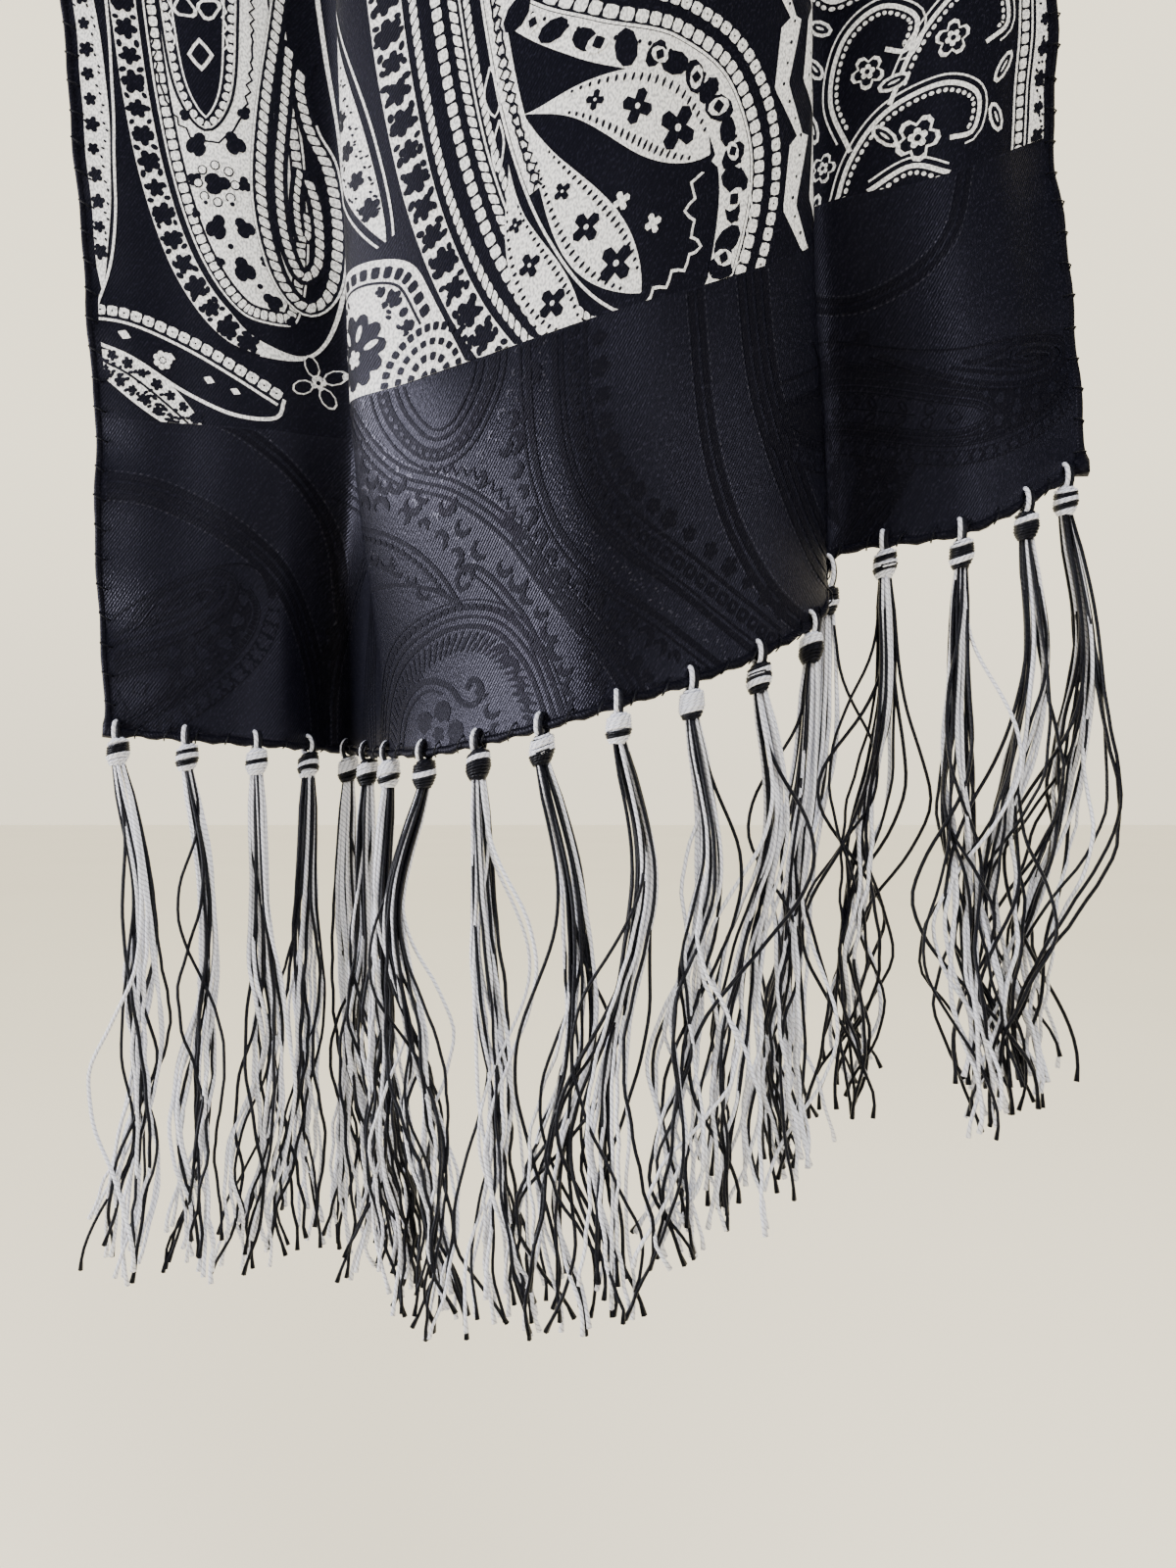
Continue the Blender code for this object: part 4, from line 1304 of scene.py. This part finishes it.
def make_hem():
    """A tube on the cut's edge. Its radius swells between the stitches and it moves in at each of them."""
    s, places, outward = round_the_cut(HEM_STEP)
    pull = np.cos(2 * math.pi * s / STITCH_PITCH)
    uneven = 0.5 + 0.5 * np.sin(s * 41.0 + 1.3 * np.sin(s * 23.0))
    end = np.abs(outward[:, 1])
    places = places - outward * (HEM_PULL * end * pull + HEM_WOBBLE * uneven)[:, None]
    u, v = places.T
    corner = np.hypot(np.minimum(u, WIDTH - u), np.minimum(v, LENGTH - v))
    swell = 0.86 + 0.08 * end - (0.03 + 0.10 * end) * pull + 0.06 * uneven
    swell = swell + 1.8 * np.exp(-((corner / CORNER_REACH) ** 2))
    roll = tubes(on_cloth(u, v, -0.0002)[None], ROLL_RADIUS * swell[None], 7, facing(u, v), closed=True)
    roll.groups = [(faces, flat * [1, ROLL_ROUND], paint) for faces, flat, paint in roll.groups]
    return roll


hem = make_piece("rolled_hem", make_hem(), [woven_matt])

# %% The stitches
STITCH_LENGTH = 0.0030
STITCH_RADIUS = 0.00022
EDGE_ROOM = 0.0006


def make_stitches():
    """Short threads that climb slantwise over the roll: five points each, on an arc round its line."""
    s, places, outward = round_the_cut(STITCH_PITCH)
    rng = np.random.default_rng(11)
    along = np.stack([-outward[:, 1], outward[:, 0]], axis=1)
    share = np.linspace(-1, 1, 5)
    slant = STITCH_LENGTH * (0.30 + 0.12 * rng.uniform(-1, 1, len(s)))
    reach = STITCH_LENGTH * (0.55 + 0.08 * rng.uniform(-1, 1, len(s)))
    path = places[:, None] + along[:, None] * (slant[:, None] * share)[..., None]
    path = path - outward[:, None] * (reach[:, None] * (share + 0.30))[..., None]
    path = np.clip(path, -EDGE_ROOM, [WIDTH + EDGE_ROOM, LENGTH + EDGE_ROOM])
    lift = ROLL_RADIUS * 1.12 * np.sqrt(np.clip(1 - share**4, 0, 1)) + 0.0001
    centres = on_cloth(*path.transpose(2, 0, 1), lift)
    return tubes(centres, STITCH_RADIUS, 4, facing(*places.T)[:, None], paint=BLACK)


stitches = make_piece("hem_stitches", make_stitches(), THREADS)

# %% [markdown]
# ## Tassels
# Nineteen tassels hang on each short hem. Each one is a bundle of threads, rather more of them pale than
# black, bound with a few turns of thread and hung from a doubled thread that goes through the cloth. A
# table gives each front tassel its place, length and sway, and the colours of its binding from the top
# down.

# %% Sizes of the tassels
CORNER_INSET = 0.0030
HEAD_GAP = 0.0006
HEAD_DEPTHS = (0.0, 0.0013, 0.0045, 0.0070)
HEAD_RADII = (0.0012, 0.0026, 0.0028, 0.0020)
CORE_SHARE = 0.80
BINDING_RADIUS = 0.00042
LOOP_REACH = 0.0036
LOOP_DEPTH = 0.0017
LOOP_THREAD = 0.00055
CLUMPS = 5
THREAD_RADIUS = 0.00044
FRONT_THREADS, FRONT_STATIONS = 20, 44
BACK_THREADS, BACK_STATIONS = 15, 24
BACK_LENGTH = 0.126
BACK_SWAYS = (0.0010, 0.0020, 0.0020, 0.0025)
BACK_SWAY_STEP = 1.7
BACK_SEED = 40
BUNDLE_RADII = (0.0013, 0.0022, 0.0028, 0.0037, 0.0050, 0.0062)
BUNDLE_STATIONS = (0.0, 0.07, 0.25, 0.5, 0.75, 1.0)

FRONT_TASSELS = (
    # millimetres: place, length, sway at a quarter, half, three quarters and the end, lean; binding
    (3.0,   131,  6.0,  6.5,  5.0,  1.0,  0.0, "pbbpp"),
    (20.3,  130,  5.5,  4.5,  2.5,  1.5,  0.0, "pbpbp"),
    (37.5,  131,  1.0,  3.5,  0.5, -3.5,  0.0, "ppbpp"),
    (54.0,  128, -0.5, -1.5, -3.0, -4.5,  1.0, "bbpbp"),
    (69.5,  129, -1.0,  0.0,  0.5, -0.5,  4.0, "pppbb"),
    (88.0,  129, -1.0, -1.0,  1.0,  2.5,  3.0, "bppbb"),
    (105.5, 131, -2.0, -1.0,  1.5,  4.5,  0.0, "pppbp"),
    (121.5, 132, -7.5, -2.0,  2.5,  4.0,  0.0, "bbpbb"),
    (139.0, 128,  1.5,  3.5,  5.0,  8.0,  0.0, "bpbbb"),
    (156.5, 126,  7.0,  7.5,  1.5,  2.0,  0.0, "pppbb"),
    (174.8, 126,  5.5, -0.5, -4.0, -2.0,  0.0, "pppbp"),
    (192.0, 119,  4.0,  0.0, -3.5, -4.5,  0.0, "ppppb"),
    (209.8, 118,  3.5, -3.0, -7.0, -8.0, -3.0, "bpbpb"),
    (227.5, 121, -2.0, -6.0, -8.0, -7.0, -6.0, "ppbbb"),
    (247.0, 132, -1.0, -5.5, -8.5, -6.0,  7.0, "bbbpb"),
    (263.5, 127,  0.0, -5.0, -8.5, -7.0,  2.0, "pbpbp"),
    (280.8, 131, -1.0, -1.0,  0.5,  3.0, -4.0, "pbbpb"),
    (298.0, 135,  2.0, -5.0, -8.0, -6.0,  0.0, "bpbbb"),
    (310.3, 139,  5.0,  0.5, -6.5, -4.0,  3.0, "pbpbp"),
)
BACK_BINDINGS = ("pbbpp", "ppbpb", "bpppb", "bbpbp")
STRAYS = (  # the tassel, how far the thread bows out sideways, where along it, and its colour
    (1, -14.0, 0.62, PALE), (2, -9.0, 0.30, BLACK), (2, 5.0, 0.75, BLACK), (4, 7.0, 0.80, BLACK),
    (6, -6.0, 0.70, PALE), (8, 6.0, 0.55, BLACK), (9, 8.0, 0.35, PALE), (9, -7.0, 0.80, BLACK),
    (10, -9.0, 0.55, BLACK), (12, 5.0, 0.30, BLACK), (14, 9.0, 0.70, PALE), (15, 11.0, 0.35, BLACK),
    (16, 9.0, 0.45, BLACK), (17, -13.0, 0.62, BLACK), (18, 9.0, 0.75, BLACK), (19, 9.0, 0.55, BLACK),
    (19, -8.0, 0.70, BLACK),
)
print("threads in all:", (FRONT_THREADS + BACK_THREADS) * len(FRONT_TASSELS))


# %% Head, loop and threads
def head_top(u, hem_v):
    """As high under the hem as the head's widening top clears the sloping edge."""
    beside = np.clip(u + np.linspace(-2, 2, 41) * HEAD_RADII[2], 0, WIDTH)
    from_hem = drape.point(beside, hem_v) - drape.point(u, hem_v)
    distance = np.linalg.norm(from_hem[:, :2], axis=1)
    under = distance < HEAD_RADII[2] + HEAD_GAP
    fall = -from_hem[under, 2] - np.interp(distance[under], HEAD_RADII[:3], HEAD_DEPTHS[:3])
    return on_cloth(u, hem_v) - [0, 0, HEAD_GAP + np.max(fall)]


def bound_head(top, binding, rng):
    """A core whose radius follows the head's profile, and two rings of thread round it for each turn."""
    colours = [BLACK if letter == "b" else PALE for letter in binding]
    depth = np.linspace(0, HEAD_DEPTHS[-1], 9)
    radius = np.interp(depth, HEAD_DEPTHS, HEAD_RADII) * CORE_SHARE
    core = tubes((top - depth[:, None] * [0, 0, 1])[None], radius[None], 12, (0, 1, 0), paint=colours[-1])
    turn = np.linspace(0, 2 * math.pi, 16, endpoint=False)
    paint = np.repeat(colours, 2)
    level = HEAD_DEPTHS[-1] * (0.10 + 0.80 * np.arange(len(paint)) / (len(paint) - 1))
    reach = (np.interp(level, HEAD_DEPTHS, HEAD_RADII) - BINDING_RADIUS * 0.5)[:, None]
    reach = reach * np.sqrt(1 - 0.45 * (2 * level / HEAD_DEPTHS[-1] - 1) ** 4)[:, None]
    tilt, start = rng.uniform(0.20, 0.42), rng.choice([1.3, 1.8]) + rng.uniform(-0.4, 0.4)
    slope = reach * tilt * np.sin(turn + start + np.repeat(rng.uniform(-0.6, 0.6, len(binding)), 2)[:, None])
    rings = np.stack([reach * np.cos(turn), reach * np.sin(turn), slope], axis=-1)
    rings = top - level[:, None, None] * [0, 0, 1] + rings
    return [core, tubes(rings, BINDING_RADIUS, 5, (0, 0, 1), closed=True, paint=paint)]


def hanging_loop(u, hem_v, top):
    """Two rings of thread side by side, upright and square to the cloth, round the hem's roll."""
    hem = on_cloth(u, hem_v)
    out = unit(facing(u, hem_v) * [1, 1, 0])
    across = np.array([-out[1], out[0], 0.0])
    low, high = top[2] - 0.0009 - hem[2], LOOP_REACH
    turn = np.linspace(0, 2 * math.pi, 16, endpoint=False)[:, None]
    ring = LOOP_DEPTH * np.cos(turn) * out + [0, 0, 1] * ((high + low) / 2 + (high - low) / 2 * np.sin(turn))
    beside = LOOP_THREAD * 0.98 * np.array([-1, 1])[:, None, None] * across
    return tubes(hem + ring + beside, LOOP_THREAD, 6, across, closed=True, paint=np.array([PALE, BLACK]))


def bundle(root, length, swings, lean, strays, rng, count, stations):
    """All the threads of one tassel, worked out together.

    The threads keep to a few clumps. Each clump has its own angle and waves, and each thread its own place
    in the clump and two smaller waves. All waves start from nothing at the head, and the bundle widens
    downwards.
    """
    share = np.linspace(0, 1, stations)
    clump = np.arange(count) % CLUMPS

    def own(low, high):
        """A random size for each thread."""
        return rng.uniform(low, high, (count, 1))

    def shared(low, high):
        """A random size for each clump, the same for all its threads."""
        return rng.uniform(low, high, (CLUMPS, 1))[clump]

    swept = smooth_through([[0.0], *[[swing] for swing in swings]], 12)[:, 0]
    middle = np.interp(share, np.linspace(0, 1, len(swept)), swept)
    radius = np.interp(share, BUNDLE_STATIONS, BUNDLE_RADII)
    angle = 2 * math.pi * (clump[:, None] * 0.382 + own(-0.12, 0.12)) + shared(-1.3, 1.3) * share
    spread = radius * np.sqrt(own(0.05, 1.0))
    x, y = middle + spread * np.cos(angle), lean * share**2 + spread * np.sin(angle)
    free = eased(share / 0.55) * (0.2 + 1.1 * share)
    for pick, low, high, long, short in (
        (shared, 0.0006, 0.0034, 0.095, 0.050),
        (own, 0.0001, 0.0008, 0.060, 0.026),
        (own, 0.0, 0.0004, 0.018, 0.009),
    ):
        for axis in (x, y):
            height = pick(low, high) * free
            axis += height * np.sin(2 * math.pi * length * share / pick(short, long) + pick(0, 6.28))
    for number, (bow, place, _) in enumerate(strays):
        out, back = (np.exp(-(((share - place - later) / 0.17) ** 2)) for later in (0, 0.36))
        x[number] += bow * (out - 0.6 * back) * eased(share / 0.25)
        y[number] -= abs(bow) * 0.3 * np.sin(math.pi * share)
    tip = eased((share - 0.80) / 0.2)
    x += own(-0.0034, 0.0034) * tip
    y += own(-0.0026, 0.0026) * tip
    z = -length * (1 - 0.11 * own(0, 1) ** 1.5) * share * np.ones_like(x)
    paint = (0.25 * rng.permutation(CLUMPS)[clump] + rng.uniform(0, 2.2, count) > 1.75).astype(int)
    paint[: len(strays)] = [colour for _, _, colour in strays]
    thick = THREAD_RADIUS * own(0.88, 1.12) * (1 + 0.5 * eased((share - 0.975) / 0.02))
    return tubes(root + np.stack([x, y, z], axis=-1), thick, 5, (0, 1, 0), paint=paint)


def make_tassel(name, u, hem_v, length, swings, lean, binding, strays, seed, count, stations):
    """One tassel. Further to the right, more of its threads stray and bow out further."""
    rng = np.random.default_rng(seed)
    top = head_top(u, hem_v)
    root = top - [0, 0, HEAD_DEPTHS[-1] - 0.0012]
    parts = [*bound_head(top, binding, rng), hanging_loop(u, hem_v, top)]
    more = rng.uniform(0.3, 0.9, 3 + round(3 * u / WIDTH))
    for place, side in zip(more, rng.permutation([-1, 1, 1, -1, 1, -1])):
        bow = side * rng.uniform(0.003, 0.006 + 0.007 * u / WIDTH)
        strays = [*strays, (bow, place, BLACK if rng.uniform() < 0.7 else PALE)]
    parts.append(bundle(root, length, swings, lean, strays, rng, count, stations))
    tassel = make_piece(name + "_threads", joined(parts), THREADS)
    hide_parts(name)
    return tassel


# %% Hang the tassels
for number, (*sizes, binding) in enumerate(FRONT_TASSELS, 1):
    place, length, *swings, lean = np.array(sizes) * MM
    strays = [(bow * MM, at, colour) for which, bow, at, colour in STRAYS if which == number]
    make_tassel(
        f"tassel_front_{number:02d}", place, 0.0, length, swings, lean, binding, strays,
        number, FRONT_THREADS, FRONT_STATIONS,
    )
for number, place in enumerate(np.linspace(CORNER_INSET, WIDTH - CORNER_INSET, len(FRONT_TASSELS)), 1):
    swings = [sway * math.sin(BACK_SWAY_STEP * number + turn) for turn, sway in enumerate(BACK_SWAYS)]
    make_tassel(
        f"tassel_back_{number:02d}", place, LENGTH, BACK_LENGTH, swings, 0.0,
        BACK_BINDINGS[number % len(BACK_BINDINGS)], [], BACK_SEED + number, BACK_THREADS, BACK_STATIONS,
    )

print("the sheet's cut:", WIDTH, "by", LENGTH, "m")

# %% [markdown]
# ## Floor and light
# A plain pale floor and soft light. A lamp at the left, level with the lower end, gives the satin its
# grey sheen on the side that faces it. A small weak one at the right and one from above in front open
# the shadows, and a broad sun evens the floor. To the camera the world is pale all round. For the silk,
# which mirrors it, its front side is dim, so the cloth stays dark.

# %% Floor
FLOOR_HEIGHT = -1.45
FLOOR_HALF = 14.0
FLOOR_ROUGHNESS = 0.7

nodes = Nodes(bpy.data.materials.new("pale_floor"))
cloudy = nodes.noise(nodes.add("TexCoord").outputs["Object"], 1.2, 3.0)
tone = nodes.mix(cloudy, (0.80, 0.75, 0.62, 1), (0.86, 0.81, 0.68, 1))
floor_mesh = bpy.data.meshes.new("floor")
corners = [(x * FLOOR_HALF, y * FLOOR_HALF, FLOOR_HEIGHT) for x, y in ((-1, -1), (1, -1), (1, 1), (-1, 1))]
floor_mesh.from_pydata(corners, [], [(0, 1, 2, 3)])
floor_mesh.materials.append(
    nodes.finish("Principled BSDF", {"Base Color": tone, "Roughness": FLOOR_ROUGHNESS})
)
floor = linked("floor", floor_mesh)
floor.visible_glossy = False
floor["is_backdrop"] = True
print("floor at", FLOOR_HEIGHT)

# %% Light
BRIGHT_SIDE = (2.10, 1.88, 1.40, 1)
DIM_SIDE = (0.06, 0.06, 0.062, 1)
SUN_STRENGTH = 3.9
SUN_WIDTH = 70  # degrees
SUN_COLOUR = (1.0, 0.95, 0.84)
LAMPS = (
    # name, place, aimed at, size, watts, colour
    ("key_lamp", (-1.43, -0.49, -0.88), (0.0, 0.0, -0.90), 0.72, 31.0, (0.93, 0.93, 1.0)),
    ("fill_lamp", (0.80, -1.10, -0.80), (-0.05, 0.0, -0.88), 0.5, 3.0, (0.93, 0.93, 1.0)),
    ("top_lamp", (0.35, -1.2, 1.3), (0.0, 0.0, -0.95), 1.0, 75.0, (1.0, 0.99, 0.97)),
)


def light(name, kind, watts, colour, place, target, mirrored):
    """A lamp whose -Z is turned towards a point. Only a mirrored one shows in the silk."""
    data = bpy.data.lights.new(name, kind)
    data.energy, data.color = watts, colour
    lamp = linked(name, data)
    away = np.array(place) - np.array(target)
    lamp.location = place
    tilt = math.atan2(math.hypot(away[0], away[1]), away[2])
    lamp.rotation_euler = (tilt, 0, math.atan2(away[1], away[0]) + math.pi / 2)
    lamp.visible_glossy = mirrored
    return data


for name, place, target, size, watts, colour in LAMPS:
    light(name, "AREA", watts, colour, place, target, name != "top_lamp").size = size
sun = light("floor_light", "SUN", SUN_STRENGTH, SUN_COLOUR, (0.0, 1.0, 2.2), (0.0, 0.0, 0.0), False)
sun.angle = math.radians(SUN_WIDTH)

nodes = Nodes(bpy.data.worlds.new("pale_room"))
_, back, up = nodes.add("SeparateXYZ", {0: nodes.add("TexCoord").outputs["Generated"]}).outputs
to_camera = nodes.add("LightPath").outputs["Is Camera Ray"]
bright = nodes.math("MAXIMUM", nodes.between(back, 0.1, 0.6), to_camera)
bpy.context.scene.world = nodes.finish("Background", {
    "Color": nodes.mix(bright, DIM_SIDE, BRIGHT_SIDE),
    "Strength": nodes.between(up, 0.0, 0.25, 0.87, 1.05, "LINEAR"),
})
print("lamps:", len(LAMPS))

# %% Sizes of the finished object
finished_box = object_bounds()
sizes = {"cad": [list(corner) for corner in cad_box], "visual": [list(corner) for corner in finished_box]}
print(sizes)
